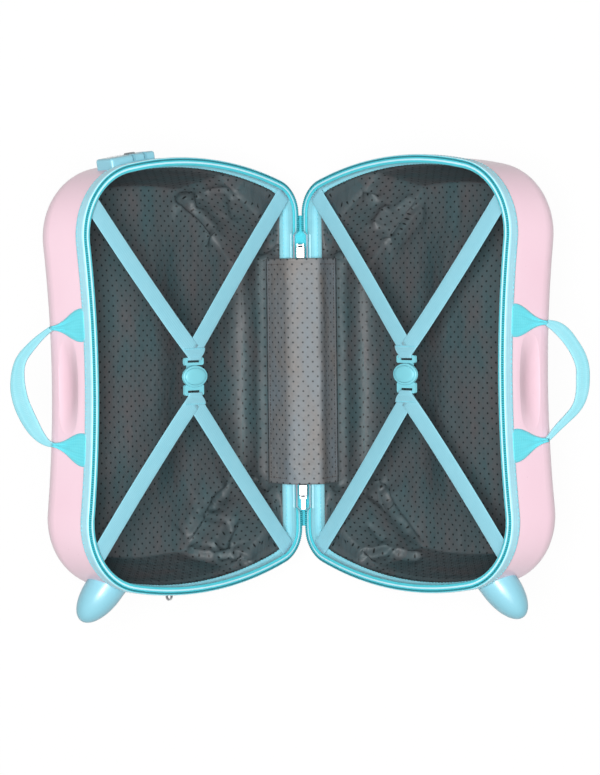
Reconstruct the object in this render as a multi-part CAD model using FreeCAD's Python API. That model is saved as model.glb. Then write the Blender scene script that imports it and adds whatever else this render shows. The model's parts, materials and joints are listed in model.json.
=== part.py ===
import FreeCAD, Part
import math
import os
from FreeCAD import Placement, Rotation, Vector

# Children's ride-on suitcase, standing open on its wheels like a book.
# Each half is modelled as it stands when the case is closed: the hinge line is the Y axis,
# X is the depth out from the parting plane, Z is the height above the hinge line.
# The front, with the horns, is -Y. The left half is the mirror image of the right half.
# Each half is then leaned outwards about the hinge line. All sizes are in mm and degrees.

# Side outline of the case
LENGTH = 483.0
HEIGHT = 315.0
SADDLE_DIP = 9.0
END_BOW_RADIUS = 420.0
END_BOW_HEIGHT = 160.0
TOP_CORNER = 80.0
HINGE_CORNER = 40.0
LEAN = 45.0

# Moulded shell of one half
DEPTH = 98.0
WALL = 2.8
EDGE_ROUND = 34.0
RIM_START = 4.0
RIM_BAND = 22.0
GROOVE_DEPTH = 4.5
GROOVE_START = 24.0
GROOVE_WIDTH = 44.0
GROOVE_LENGTH = 136.0
GROOVE_LIFT = 0.6

# Binding round the rim, zip and lining
BINDING = 1.8
BINDING_FRONT = 2.2
BINDING_OUTSIDE = 14.0
BINDING_INSIDE = 19.0
ZIP_FRONT = 0.4
ZIP_WIDTH = 3.6
LINING_GAP = 3.2
LINING = 1.0
SOFT_GAP = 0.3

# Cloth hinge between the halves
HINGE_CLOTH_LENGTH = 262.0
HINGE_CLOTH_REACH = 44.0
HINGE_CLOTH = 1.2
HINGE_GAP = 0.15

# Zip sliders parked at the ends of the cloth hinge
SLIDER_LENGTH = 13.0
SLIDER_WIDTH = 10.0
SLIDER_HEIGHT = 6.0
SLIDER_LIFT = 1.2
SLIDER_SPACE = 9.0
PULL_LENGTH = 14.0
PULL_WIDTH = 5.0
PULL_THICKNESS = 1.6
PULL_PIN = 0.8
PULL_HEIGHT = 4.2
EAR = 1.2

# Cross straps and their clip
STRAP_WIDTH = 20.0
STRAP_THICKNESS = 1.4
STRAP_X = 6.5
STRAP_TOP_DROP = 20.0
STRAP_TOP = (184.0, HEIGHT - STRAP_TOP_DROP)
STRAP_LOW = (206.0, 18.0)
CLIP_DROP = 155.0
CLIP_HEIGHT = HEIGHT - CLIP_DROP
CLIP_FRONT = 3.0
CLIP_RADIUS = 12.0
CLIP_HALF_WIDTH = 17.5
CLIP_ROUND = 1.2
CLIP_BACK = 3.0
CLIP_THICKNESS = 6.5
CLIP_RIM = 2.5
CLIP_BUTTON_GAP = 0.2
CLIP_BUTTON_DEEP = 2.5
CLIP_BUTTON_PROUD = 1.6
CLIP_TRAVEL = 1.5
CLIP_BAR_WIDTH = 28.0
CLIP_BAR_END = 21.0
CLIP_BAR = 3.0
CLIP_SLOT_WIDTH = 19.0
CLIP_SLOT = 2.6
CLIP_TONGUE_WIDTH = 14.0
CLIP_TONGUE = 1.6

# Webbing handle on the saddle
HANDLE_MIDDLE = -7.0
HANDLE_SPAN = 126.0
TAB_WIDTH = 36.0
TAB_NECK = 14.0
TAB_SPLAY = 4.0
TAB_END = 66.0
WEBBING = 2.0
GRIP_REACH = 50.0
GRIP_WIDTH = 17.0
GRIP_THICKNESS = 4.0
GRIP_RISE = 25.0
KNUCKLE = 2.5
KNUCKLE_LENGTH = 12.0

# Horn
HORN_X = 40.0
HORN_DROP = 53.0
HORN_HEIGHT = HEIGHT - HORN_DROP
HORN_LENGTH = 46.0
HORN_RADIUS = 21.0
HORN_SHOULDER = 3.0
HORN_OUT = 16.0
HORN_UP = 35.0
HORN_ROOT = 22.0

# Wheels
GROUND = 46.0
WHEEL_OUTER_X = 77.0
TYRE_ROUND = 4.0
RUN_GAP = 0.6
SHAFT_GAP = 0.04
PLATE = 5.0
CHEEK = 3.0
REAR_Y = 150.0
REAR_RADIUS = 20.0
REAR_WIDTH = 20.0
REAR_HUB = 13.0
REAR_AXLE = 3.0
FRONT_Y = -150.0
CASTER_RADIUS = 17.0
CASTER_WIDTH = 16.0
CASTER_HUB = 11.0
CASTER_AXLE = 2.5
CASTER_TRAIL = 11.0
CROWN = 3.0
BOSS_DROP = 7.4
BOSS_RADIUS = 13.0
STEM = 4.0
STEM_HEAD = 4.8
STEM_HEAD_THICKNESS = 1.4
PLATE_INNER_X = 43.0
PLATE_LENGTH = 44.0
RIVET_HEAD = 1.4

# Screws through the shell, heads inside
SCREW = 1.8
SCREW_HOLE = 1.9
SCREW_HEAD = 3.8
SCREW_HEAD_THICKNESS = 2.2
SCREW_REACH = 5.5
SCREW_X = 49.0
SCREW_SPACING = 22.0

# Combination lock on the rear end of the left half
LOCK_DROP = 81.0
LOCK_HEIGHT = HEIGHT - LOCK_DROP
LOCK_LENGTH = 62.0
LOCK_WIDTH = 28.0
LOCK_RISE = 10.0
LOCK_ROUND = 3.0
DIAL_RADIUS = 4.8
DIAL_WIDTH = 4.4
DIAL_PITCH = 7.0
DIAL_FIRST = 8.5
DIAL_PROUD = 1.3
DIAL_SHAFT = 1.5
DIAL_GAP = 0.4
KEY_SLOT_WIDTH = 5.0
KEY_SLOT_DEPTH = 10.0
KEY_SLOT_FLOOR = 3.0
KEY_SLOTS = (-17.0, -1.0)
CATCH_LENGTH = 9.0
CATCH_WIDTH = 8.0
CATCH_PROUD = 1.5
CATCH_DEPTH = 4.0
CATCH_TRAVEL = 4.0
CATCH_PLACE = -12.0
CATCH_GAP = 0.3

# Tow eye under the front rim of the left half
EYE_DROP = 128.0
EYE_HEIGHT = HEIGHT - EYE_DROP
EYE_RADIUS = 4.8
EYE_BORE = 3.2
EYE_THICKNESS = 2.4
EYE_STAND = 5.0
EYE_FOOT_WIDTH = 9.0
EYE_FOOT_LENGTH = 16.0
EYE_FOOT = 1.6
EYE_RIVET = 1.5
EYE_RIVET_HEAD = 0.8

EDGE = min(EDGE_ROUND, HINGE_CORNER - BINDING - 4.0)
RIM_INNER = BINDING + WALL
LIP_INNER = RIM_INNER + BINDING
LINING_OUT = RIM_INNER + LINING_GAP
LINING_IN = LINING_OUT + LINING
AXLE_REAR_Z = REAR_RADIUS - GROUND
AXLE_FRONT_Z = CASTER_RADIUS - GROUND
REAR_X = WHEEL_OUTER_X - REAR_WIDTH / 2
CASTER_X = WHEEL_OUTER_X - CASTER_WIDTH / 2
SLIDER_Y = HINGE_CLOTH_LENGTH / 2 + SOFT_GAP
PIN_Y = SLIDER_Y + SLIDER_LENGTH + EAR + PULL_PIN
EYE_X = BINDING_OUTSIDE + SOFT_GAP + EYE_FOOT_LENGTH / 2
EDGE_OF_RELIEF = PIN_Y + PULL_LENGTH + 1.5

ALONG_X = Vector(1, 0, 0)
ALONG_Y = Vector(0, 1, 0)
ALONG_Z = Vector(0, 0, 1)


def unit(v):
    return v / math.hypot(v.y, v.z)


def arc(start, middle, end):
    return Part.Arc(start, middle, end).toShape()


def centres(inset):
    """Centres and radii of the arcs of the side outline, drawn in by inset."""
    end = Vector(0, LENGTH / 2 - END_BOW_RADIUS, END_BOW_HEIGHT)
    bow, top_r, low_r = END_BOW_RADIUS, TOP_CORNER, HINGE_CORNER
    top = Vector(0, 0, HEIGHT - top_r)
    top.y = end.y + math.sqrt((bow - top_r) ** 2 - (top.z - end.z) ** 2)
    low = Vector(0, 0, low_r)
    low.y = end.y + math.sqrt((bow - low_r) ** 2 - (low.z - end.z) ** 2)
    dip = (top.y ** 2 + SADDLE_DIP ** 2) / (2 * SADDLE_DIP) - top_r
    saddle = Vector(0, 0, HEIGHT - SADDLE_DIP + dip)
    return (low, low_r - inset), (end, bow - inset), (top, top_r - inset), (saddle, dip + inset)


def outline(inset, x):
    """Closed side outline of the case in the plane at depth x."""
    (low, low_r), (end, bow), (top, top_r), (saddle, dip) = centres(inset)
    toward_low = unit(low - end)
    toward_top = unit(top - end)
    from_saddle = unit(top - saddle)
    foot = Vector(0, low.y, inset)
    p1 = end + toward_low * bow
    p2 = end + toward_top * bow
    p3 = saddle + from_saddle * dip
    low_mid = low + unit(toward_low - ALONG_Z) * low_r
    bow_mid = end + unit(toward_low + toward_top) * bow
    top_mid = top + unit(toward_top - from_saddle) * top_r
    saddle_mid = Vector(0, 0, saddle.z - dip)

    def at(p, side=1):
        return Vector(x, side * p.y, p.z)

    edges = [Part.makeLine(at(foot, -1), at(foot))]
    edges += [arc(at(foot), at(low_mid), at(p1)), arc(at(p1), at(bow_mid), at(p2))]
    edges += [arc(at(p2), at(top_mid), at(p3)), arc(at(p3), at(saddle_mid), at(p3, -1))]
    edges += [arc(at(p3, -1), at(top_mid, -1), at(p2, -1)), arc(at(p2, -1), at(bow_mid, -1), at(p1, -1))]
    edges += [arc(at(p1, -1), at(low_mid, -1), at(foot, -1))]
    return Part.Wire(edges)


def slab(inset, x0, x1):
    return Part.Face(outline(inset, x0)).extrude(Vector(x1 - x0, 0, 0))


def ring(inset0, inset1, x0, x1):
    return slab(inset0, x0, x1).cut(slab(inset1, x0 - 1, x1 + 1))


def tray(inset, x0, x1):
    """Solid block of the outline with its far edge rounded."""
    block = slab(inset, x0, x1)
    far = [e for e in block.Edges if all(abs(v.X - x1) < 1e-6 for v in e.Vertexes)]
    return block.makeFillet(EDGE - (inset - BINDING), far)


def box(x0, x1, y0, y1, z0, z1):
    return Part.makeBox(x1 - x0, y1 - y0, z1 - z0, Vector(x0, y0, z0))


def rod(radius, start, direction, length):
    return Part.makeCylinder(radius, length, start, direction)


def rod_x(radius, x0, x1, y, z):
    return rod(radius, Vector(x0, y, z), ALONG_X, x1 - x0)


def plate_x(points, x0, x1):
    """Flat plate of a (y, z) polygon, from x0 to x1."""
    corners = [Vector(x0, y, z) for y, z in points]
    return Part.Face(Part.makePolygon(corners + corners[:1])).extrude(Vector(x1 - x0, 0, 0))


def saddle_height(inset, y):
    centre, radius = centres(inset)[3]
    return centre.z - math.sqrt(radius ** 2 - y ** 2)


def end_arc(height):
    """Centre and radius of the arc of the end wall that a height lies on."""
    low, bow, top = centres(BINDING)[:3]
    if height < bow[0].z + unit(low[0] - bow[0]).z * bow[1]:
        return low
    if height > bow[0].z + unit(top[0] - bow[0]).z * bow[1]:
        return top
    return bow


def end_frame(height, side):
    """Seat on the shell's end wall: X up the wall, Z straight out of it."""
    centre, radius = end_arc(height)
    rise = (height - centre.z) / radius
    run = math.sqrt(1 - rise ** 2)
    seat = Vector(0, side * (centre.y + radius * run), height)
    up = Vector(0, -side * rise, run)
    out = Vector(0, side * run, rise)
    return Placement(seat, Rotation(up, out.cross(up), out, "XYZ"))


def moved(shape, placement):
    shape = shape.copy()
    shape.Placement = placement.multiply(shape.Placement)
    return shape


def finger_groove(inset):
    """Tool that hollows the saddle under the handle: a soft groove that fades out under the webbing ends."""
    sections = []
    steps = 8
    for share in (-1.0, -0.6, -0.25, 0.25, 0.6, 1.0):
        y = HANDLE_MIDDLE + share * GROOVE_LENGTH / 2
        low = saddle_height(inset, y) + GROOVE_LIFT
        deep = GROOVE_DEPTH * math.cos(share * math.pi / 2) ** 2 + GROOVE_LIFT * (1 - abs(share))
        points = []
        for i in range(steps + 1):
            swing = (1 - math.cos(2 * math.pi * i / steps)) / 2
            points.append(Vector(GROOVE_START + GROOVE_WIDTH * i / steps, y, low - deep * swing))
        curve = Part.BSplineCurve()
        curve.interpolate(points)
        first, last = points[0], points[-1]
        up = Vector(0, 0, HEIGHT + 20 - low)
        sides = Part.makePolygon([last, last + up, first + up, first])
        sections.append(Part.Wire([curve.toShape()] + sides.Edges))
    return Part.makeLoft(sections, True)


def screw_seats():
    """Starts and directions of the screws, from the inner face of the wall outwards."""
    seats = []
    for middle in (REAR_Y, FRONT_Y):
        for step in (-SCREW_SPACING / 2, SCREW_SPACING / 2):
            seats.append((Vector(SCREW_X, middle + step, RIM_INNER), -ALONG_Z))
    frame = end_frame(HORN_HEIGHT, -1)
    out = frame.Rotation.multVec(ALONG_Z)
    seats.append((frame.Base + Vector(HORN_X, 0, 0) - out * WALL, out))
    return seats


def screws():
    pieces = []
    for start, out in screw_seats():
        shank = rod(SCREW, start, out, WALL + SCREW_REACH)
        head = rod(SCREW_HEAD, start - out * SCREW_HEAD_THICKNESS, out, SCREW_HEAD_THICKNESS)
        pieces.append(shank.fuse(head).removeSplitter().cut(shell_walls()))
    return Part.makeCompound(pieces)


def drill(shape):
    for start, out in screw_seats():
        hole = rod(SCREW_HOLE, start - out * 5, out, WALL + SCREW_REACH + 5.3)
        shape = shape.cut(hole)
    return shape


def shell_walls():
    outer = tray(BINDING, RIM_START, DEPTH).cut(finger_groove(BINDING))
    inner = tray(RIM_INNER, RIM_START - 1, DEPTH - WALL).cut(finger_groove(RIM_INNER))
    walls = outer.cut(inner)
    band = box(0, RIM_BAND, -LENGTH, LENGTH, -HEIGHT, 2 * HEIGHT)
    return drill(walls.common(band).fuse(walls.cut(band)))


def hinge_clearance(shape):
    """Clears the rim where the cloth hinge and the zip sliders lie."""
    half = HINGE_CLOTH_LENGTH / 2 + SOFT_GAP
    shape = shape.cut(box(-1, BINDING_INSIDE + 5, -half, half, -1, LINING_IN))
    return slider_clearance(shape)


def slider_clearance(shape):
    start = HINGE_CLOTH_LENGTH / 2
    length = EDGE_OF_RELIEF - start
    for y0 in (start, -start - length):
        shape = shape.cut(rod(SLIDER_SPACE, Vector(0, y0, 0), ALONG_Y, length))
    return shape


def binding():
    outside = ring(0, BINDING, BINDING_FRONT, BINDING_OUTSIDE)
    front = ring(0, LIP_INNER, BINDING_FRONT, RIM_START)
    inside = ring(RIM_INNER, LIP_INNER, BINDING_FRONT, BINDING_INSIDE)
    return hinge_clearance(outside.fuse([front, inside]).removeSplitter())


def zip_teeth():
    middle = LIP_INNER / 2
    strip = ring(middle - ZIP_WIDTH / 2, middle + ZIP_WIDTH / 2, ZIP_FRONT, BINDING_FRONT)
    return strip.cut(box(-1, 5, -EDGE_OF_RELIEF, EDGE_OF_RELIEF, -1, LIP_INNER))


def lining():
    mouth = BINDING_INSIDE
    floor = DEPTH - WALL - LINING_GAP
    outer = tray(LINING_OUT, mouth, floor).cut(finger_groove(LINING_OUT))
    inner = tray(LINING_IN, mouth - 1, floor - LINING).cut(finger_groove(LINING_IN))
    hem = ring(RIM_INNER + SOFT_GAP, LINING_IN, mouth, mouth + LINING)
    return outer.cut(inner).fuse(hem).removeSplitter()


def hinge_cloth():
    """Cloth leaf that wraps the shell's edge along the hinge and lies over the lining."""
    t = HINGE_CLOTH
    near = HINGE_GAP
    over = LINING_IN + SOFT_GAP
    low = BINDING - SOFT_GAP / 2
    mouth = BINDING_INSIDE - t
    section = [(near, 0.0), (BINDING_OUTSIDE, low - t), (BINDING_OUTSIDE, low), (RIM_START - 0.2, low)]
    section += [(RIM_START - 0.2, RIM_INNER + 0.2), (mouth, RIM_INNER + 0.2), (mouth, over)]
    section += [(HINGE_CLOTH_REACH, over), (HINGE_CLOTH_REACH, over + t), (mouth - t, over + t)]
    section += [(mouth - t, RIM_INNER + 0.2 + t), (RIM_START - t, RIM_INNER + 0.2 + t), (near, low + t)]
    half = HINGE_CLOTH_LENGTH / 2
    corners = [Vector(x, -half, z) for x, z in section]
    return Part.Face(Part.makePolygon(corners + corners[:1])).extrude(Vector(0, 2 * half, 0))


def strap(start, end, beyond):
    """Straight band in the strap plane from start towards end, both (y, z)."""
    a, b = Vector(0, *start), Vector(0, *end)
    along = unit(b - a)
    across = Vector(0, -along.z, along.y) * (STRAP_WIDTH / 2)
    b = b + along * beyond
    corners = [a + across, b + across, b - across, a - across]
    return plate_x([(c.y, c.z) for c in corners], STRAP_X, STRAP_X + STRAP_THICKNESS)


def strap_pair(side):
    """Two bands sewn together at the clip, cut to the inner lip of the binding."""
    knot = (side * CLIP_BAR_END, CLIP_HEIGHT)
    up = strap(knot, (side * STRAP_TOP[0], STRAP_TOP[1]), STRAP_WIDTH)
    down = strap(knot, (side * STRAP_LOW[0], STRAP_LOW[1]), STRAP_WIDTH)
    pair = up.fuse(down).removeSplitter()
    pair = pair.common(slab(LIP_INNER, STRAP_X - 1, STRAP_X + 5))
    far = LENGTH
    keep = sorted((side * CLIP_BAR_END, side * far))
    return pair.common(box(0, DEPTH, keep[0], keep[1], 0, HEIGHT))


def clip_bar(side, start):
    ends = sorted((side * start, side * CLIP_BAR_END))
    half = CLIP_BAR_WIDTH / 2
    x0 = STRAP_X + STRAP_THICKNESS / 2 - CLIP_BAR / 2
    bar = box(x0, x0 + CLIP_BAR, ends[0], ends[1], CLIP_HEIGHT - half, CLIP_HEIGHT + half)
    upright = [e for e in bar.Edges if abs(e.tangentAt(e.FirstParameter).x) > 0.9]
    bar = bar.makeFillet(2.5, upright)
    slot = sorted((side * (CLIP_BAR_END - 3.0), side * (CLIP_BAR_END - 3.0 - CLIP_SLOT)))
    wide = CLIP_SLOT_WIDTH / 2
    return bar.cut(box(x0 - 1, x0 + CLIP_BAR + 1, slot[0], slot[1], CLIP_HEIGHT - wide, CLIP_HEIGHT + wide))


def clip_oval(inset, x0, x1):
    """Prism of the clip's oval outline, drawn in by inset."""
    middle = Vector(x0, 0, CLIP_HEIGHT)
    long_end = middle + ALONG_Z * (CLIP_HALF_WIDTH - inset)
    short_end = middle + ALONG_Y * (CLIP_RADIUS - inset)
    edge = Part.Ellipse(long_end, short_end, middle).toShape()
    return Part.Face(Part.Wire([edge])).extrude(Vector(x1 - x0, 0, 0))


def round_front(shape, x, radius):
    front = [e for e in shape.Edges if abs(e.CenterOfMass.x - x) < 1e-6]
    return shape.makeFillet(radius, front)


def clip_socket():
    back = CLIP_FRONT + CLIP_THICKNESS
    disc = round_front(clip_oval(0, CLIP_FRONT, back), CLIP_FRONT, CLIP_ROUND)
    disc = disc.makeChamfer(CLIP_BACK, [e for e in disc.Edges if abs(e.CenterOfMass.x - back) < 1e-6])
    bar = clip_bar(-1, CLIP_RADIUS - 3.0)
    well = CLIP_FRONT + CLIP_TRAVEL + CLIP_BUTTON_DEEP + CLIP_BUTTON_GAP
    pocket = clip_oval(CLIP_RIM - CLIP_BUTTON_GAP, CLIP_FRONT - 1, well)
    return disc.fuse(bar).removeSplitter().cut(pocket)


def clip_plug():
    back = CLIP_FRONT + CLIP_THICKNESS
    x0 = STRAP_X + STRAP_THICKNESS / 2 - CLIP_BAR / 2
    half = CLIP_TONGUE_WIDTH / 2
    root = CLIP_RADIUS + 0.4
    low, high = CLIP_HEIGHT - half, CLIP_HEIGHT + half
    bar = clip_bar(1, root)
    tongue = box(back, back + CLIP_TONGUE, -CLIP_RADIUS / 2, root + 2.0, low, high)
    step = box(x0, back + CLIP_TONGUE, root, root + 2.0, low, high)
    return bar.fuse([tongue, step]).removeSplitter()


def clip_button():
    front = CLIP_FRONT - CLIP_BUTTON_PROUD
    button = clip_oval(CLIP_RIM, front, CLIP_FRONT + CLIP_BUTTON_DEEP)
    return round_front(button, front, CLIP_BUTTON_PROUD * 0.9)


def handle_tabs():
    """Webbing ends that come out from under the binding and lie on the saddle."""
    seat = BINDING - SOFT_GAP
    skin = ring(seat - WEBBING, seat, BINDING_OUTSIDE, TAB_END)
    tabs = []
    for side in (-1, 1):
        y = HANDLE_MIDDLE + side * HANDLE_SPAN / 2
        root = y + side * TAB_SPLAY
        wide, neck = TAB_WIDTH / 2, TAB_NECK / 2
        low, high = HEIGHT - SADDLE_DIP - 20, HEIGHT + 20
        plan = [(BINDING_OUTSIDE, root - wide), (BINDING_OUTSIDE, root + wide)]
        plan += [(TAB_END, y + neck), (TAB_END, y - neck)]
        corners = [Vector(px, py, low) for px, py in plan]
        shape = Part.Face(Part.makePolygon(corners + corners[:1])).extrude(Vector(0, 0, high - low))
        tabs.append(skin.common(shape))
    return Part.makeCompound(tabs)


def handle_axis():
    y = abs(HANDLE_MIDDLE) + (HANDLE_SPAN + KNUCKLE_LENGTH) / 2
    return Vector(TAB_END + KNUCKLE + SOFT_GAP, HANDLE_MIDDLE, saddle_height(BINDING, y) + KNUCKLE + SOFT_GAP)


def handle_grip():
    outer, inner = HANDLE_SPAN / 2 + KNUCKLE_LENGTH / 2, HANDLE_SPAN / 2 - KNUCKLE_LENGTH / 2
    t = GRIP_THICKNESS / 2
    edges = [arc(Vector(0, -outer, -t), Vector(GRIP_REACH, 0, -t), Vector(0, outer, -t))]
    edges += [Part.makeLine(Vector(0, outer, -t), Vector(0, inner, -t))]
    edges += [arc(Vector(0, inner, -t), Vector(GRIP_REACH - GRIP_WIDTH, 0, -t), Vector(0, -inner, -t))]
    edges += [Part.makeLine(Vector(0, -inner, -t), Vector(0, -outer, -t))]
    grip = Part.Face(Part.Wire(edges)).extrude(Vector(0, 0, GRIP_THICKNESS))
    ends = [rod(KNUCKLE, Vector(0, y, 0), ALONG_Y, KNUCKLE_LENGTH) for y in (-outer, inner)]
    grip = grip.fuse(ends).removeSplitter()
    grip.rotate(Vector(), ALONG_Y, -GRIP_RISE)
    grip.translate(handle_axis())
    return grip


def horn():
    """Smooth rounded grip on the front upper corner, seated on the shell."""
    nose = Part.Ellipse(Vector(HORN_SHOULDER, 0, 0), HORN_LENGTH - HORN_SHOULDER, HORN_RADIUS)
    edge = nose.toShape(0, math.pi / 2)
    tip, shoulder = Vector(HORN_LENGTH, 0, 0), Vector(HORN_SHOULDER, HORN_RADIUS, 0)
    root, axis = Vector(-HORN_ROOT, HORN_RADIUS, 0), Vector(-HORN_ROOT, 0, 0)
    lines = [Part.makeLine(shoulder, root), Part.makeLine(root, axis), Part.makeLine(axis, tip)]
    body = Part.Face(Part.Wire([edge] + lines)).revolve(Vector(), ALONG_X, 360)
    out, up = math.radians(HORN_OUT), math.radians(HORN_UP)
    forward = math.cos(out) * math.cos(up)
    point = Vector(math.sin(out), -forward, math.cos(out) * math.sin(up))
    seat = end_frame(HORN_HEIGHT, -1).Base + Vector(HORN_X, 0, 0)
    body = moved(body, Placement(seat, Rotation(ALONG_X, point)))
    body = body.cut(tray(BINDING, 0, DEPTH)).cut(slab(0, -10, BINDING_OUTSIDE))
    return drill(body)


def wheel_plate(y):
    """Moulded plate under the shell, cut to the shell's rounded edge."""
    outer_x = WHEEL_OUTER_X + RUN_GAP + CHEEK + 2
    half = PLATE_LENGTH / 2
    plate = box(PLATE_INNER_X, outer_x, y - half, y + half, BINDING - PLATE, EDGE / 2)
    corners = [e for e in plate.Edges if abs(e.tangentAt(e.FirstParameter).z) > 0.9]
    return plate.makeFillet(6.0, corners).cut(tray(BINDING, 0, DEPTH))


def cheek(x0, x1, y, top, axle_y, axle_z, wide, round_r):
    points = [(y - wide, top), (y + wide, top), (axle_y + round_r, axle_z), (axle_y - round_r, axle_z)]
    return plate_x(points, x0, x1).fuse(rod_x(round_r, x0, x1, axle_y, axle_z)).removeSplitter()


def rear_bracket():
    inner = WHEEL_OUTER_X - REAR_WIDTH - RUN_GAP
    outer = WHEEL_OUTER_X + RUN_GAP
    top = BINDING - PLATE
    sides = [(inner - CHEEK, inner), (outer, outer + CHEEK)]
    sides = [cheek(a, b, REAR_Y, top, REAR_Y, AXLE_REAR_Z, 18.0, 8.0) for a, b in sides]
    body = wheel_plate(REAR_Y).fuse(sides).removeSplitter()
    return drill(body.cut(rod_x(REAR_AXLE, 0, DEPTH, REAR_Y, AXLE_REAR_Z)))


def riveted_pin(radius, x0, x1, y, z):
    pin = rod_x(radius, x0, x1, y, z)
    heads = [rod_x(radius + 1.6, a, a + RIVET_HEAD, y, z) for a in (x0 - RIVET_HEAD, x1)]
    return pin.fuse(heads).removeSplitter()


def rear_axle():
    inner = WHEEL_OUTER_X - REAR_WIDTH - RUN_GAP - CHEEK
    outer = WHEEL_OUTER_X + RUN_GAP + CHEEK
    return riveted_pin(REAR_AXLE, inner, outer, REAR_Y, AXLE_REAR_Z)


def hub(radius, bore, x0, x1, y, z):
    """Wheel centre, dished on both sides round a thicker boss."""
    body = rod_x(radius, x0, x1, y, z)
    dish = (x1 - x0) / 4
    for a in (x0 - 1, x1 - dish):
        groove = rod_x(radius - 2.0, a, a + dish + 1, y, z).cut(rod_x(bore + 2.5, a - 1, a + dish + 2, y, z))
        body = body.cut(groove)
    return body.cut(rod_x(bore, x0 - 1, x1 + 1, y, z))


def tyre(radius, bore, x0, x1, y, z):
    body = rod_x(radius, x0, x1, y, z)
    rims = [e for e in body.Edges if e.Curve.TypeId == "Part::GeomCircle"]
    return body.makeFillet(TYRE_ROUND, rims).cut(rod_x(bore, x0 - 1, x1 + 1, y, z))


def caster_plate():
    boss = rod(BOSS_RADIUS, Vector(CASTER_X, FRONT_Y, -BOSS_DROP), ALONG_Z, BOSS_DROP + BINDING)
    body = wheel_plate(FRONT_Y).fuse(boss).removeSplitter()
    return drill(body.cut(rod(STEM, Vector(CASTER_X, FRONT_Y, -BOSS_DROP - 1), ALONG_Z, BOSS_DROP + 2)))


def caster_stem():
    crown_low = -BOSS_DROP - 2 * SOFT_GAP - CROWN
    pin = rod(STEM, Vector(CASTER_X, FRONT_Y, crown_low), ALONG_Z, 1 - crown_low)
    low = crown_low - STEM_HEAD_THICKNESS
    head = rod(STEM_HEAD, Vector(CASTER_X, FRONT_Y, low), ALONG_Z, STEM_HEAD_THICKNESS)
    return pin.fuse(head).removeSplitter()


def caster_fork():
    top = -BOSS_DROP - SOFT_GAP
    inner = WHEEL_OUTER_X - CASTER_WIDTH - RUN_GAP
    outer = WHEEL_OUTER_X + RUN_GAP
    side = CHEEK - 0.4
    crown = rod(BOSS_RADIUS - 1, Vector(CASTER_X, FRONT_Y, top - CROWN), ALONG_Z, CROWN)
    roof = box(inner - side, outer + side, FRONT_Y - 4, FRONT_Y + CASTER_TRAIL + 8, top - CROWN, top)
    axle_y = FRONT_Y + CASTER_TRAIL
    sides = [(inner - side, inner), (outer, outer + side)]
    middle = FRONT_Y + (CASTER_TRAIL + 4) / 2
    wide = CASTER_TRAIL / 2 + 6
    sides = [cheek(a, b, middle, top - CROWN / 2, axle_y, AXLE_FRONT_Z, wide, 6.0) for a, b in sides]
    body = crown.fuse([roof] + sides).removeSplitter()
    body = body.cut(rod_x(CASTER_AXLE, 0, DEPTH + 20, axle_y, AXLE_FRONT_Z))
    return body.cut(rod(STEM + SHAFT_GAP, Vector(CASTER_X, FRONT_Y, -GROUND), ALONG_Z, GROUND))


def caster_axle():
    side = CHEEK - 0.4
    inner = WHEEL_OUTER_X - CASTER_WIDTH - RUN_GAP - side
    outer = WHEEL_OUTER_X + RUN_GAP + side
    return riveted_pin(CASTER_AXLE, inner, outer, FRONT_Y + CASTER_TRAIL, AXLE_FRONT_Z)


def slider(side):
    """Zip slider in the groove over the hinge line, with ears that carry its pull."""
    half = SLIDER_WIDTH / 2
    body = box(-half, half, SLIDER_Y, SLIDER_Y + SLIDER_LENGTH, SLIDER_LIFT, SLIDER_LIFT + SLIDER_HEIGHT)
    body = body.makeFillet(1.0, [e for e in body.Edges if e.CenterOfMass.z > SLIDER_LIFT + 1])
    end = SLIDER_Y + SLIDER_LENGTH
    gap = PULL_WIDTH / 2 + 0.2
    reach = PULL_PIN + 0.6
    ears = []
    for x0 in (-gap - EAR, gap):
        ears.append(box(x0, x0 + EAR, end - 1, PIN_Y + reach, PULL_HEIGHT - reach, PULL_HEIGHT + reach))
    pin = rod_x(PULL_PIN, -gap - EAR, gap + EAR, PIN_Y, PULL_HEIGHT)
    body = body.fuse(ears + [pin]).removeSplitter()
    return body if side > 0 else body.mirror(Vector(), ALONG_Y)


def pull(side, drop):
    """Pull tab on the slider's pin, swung down by drop degrees."""
    half = PULL_WIDTH / 2
    t = PULL_THICKNESS / 2
    end = PIN_Y + PULL_LENGTH
    tab = box(-half, half, PIN_Y, end, PULL_HEIGHT - t, PULL_HEIGHT + t)
    eye = rod_x(PULL_PIN + 0.6, -half, half, PIN_Y, PULL_HEIGHT)
    tab = tab.fuse(eye).removeSplitter()
    tips = [e for e in tab.Edges if abs(e.CenterOfMass.y - end) < 1e-6 and e.Length < 2 * t + 0.01]
    tab = tab.makeFillet(1.2, tips)
    tab = tab.cut(rod_x(PULL_PIN + SHAFT_GAP, -half - 1, half + 1, PIN_Y, PULL_HEIGHT))
    tab.rotate(Vector(0, PIN_Y, PULL_HEIGHT), ALONG_X, -drop)
    return tab if side > 0 else tab.mirror(Vector(), ALONG_Y)


def lock_seat():
    frame = end_frame(LOCK_HEIGHT, 1)
    return Placement(frame.Base + Vector(BINDING_OUTSIDE, 0, 0), frame.Rotation)


def on_lock(shape):
    return moved(shape, lock_seat())


def dial_places():
    return [DIAL_FIRST + i * DIAL_PITCH for i in range(3)]


def dial_height():
    return LOCK_RISE + DIAL_PROUD - DIAL_RADIUS


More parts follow.
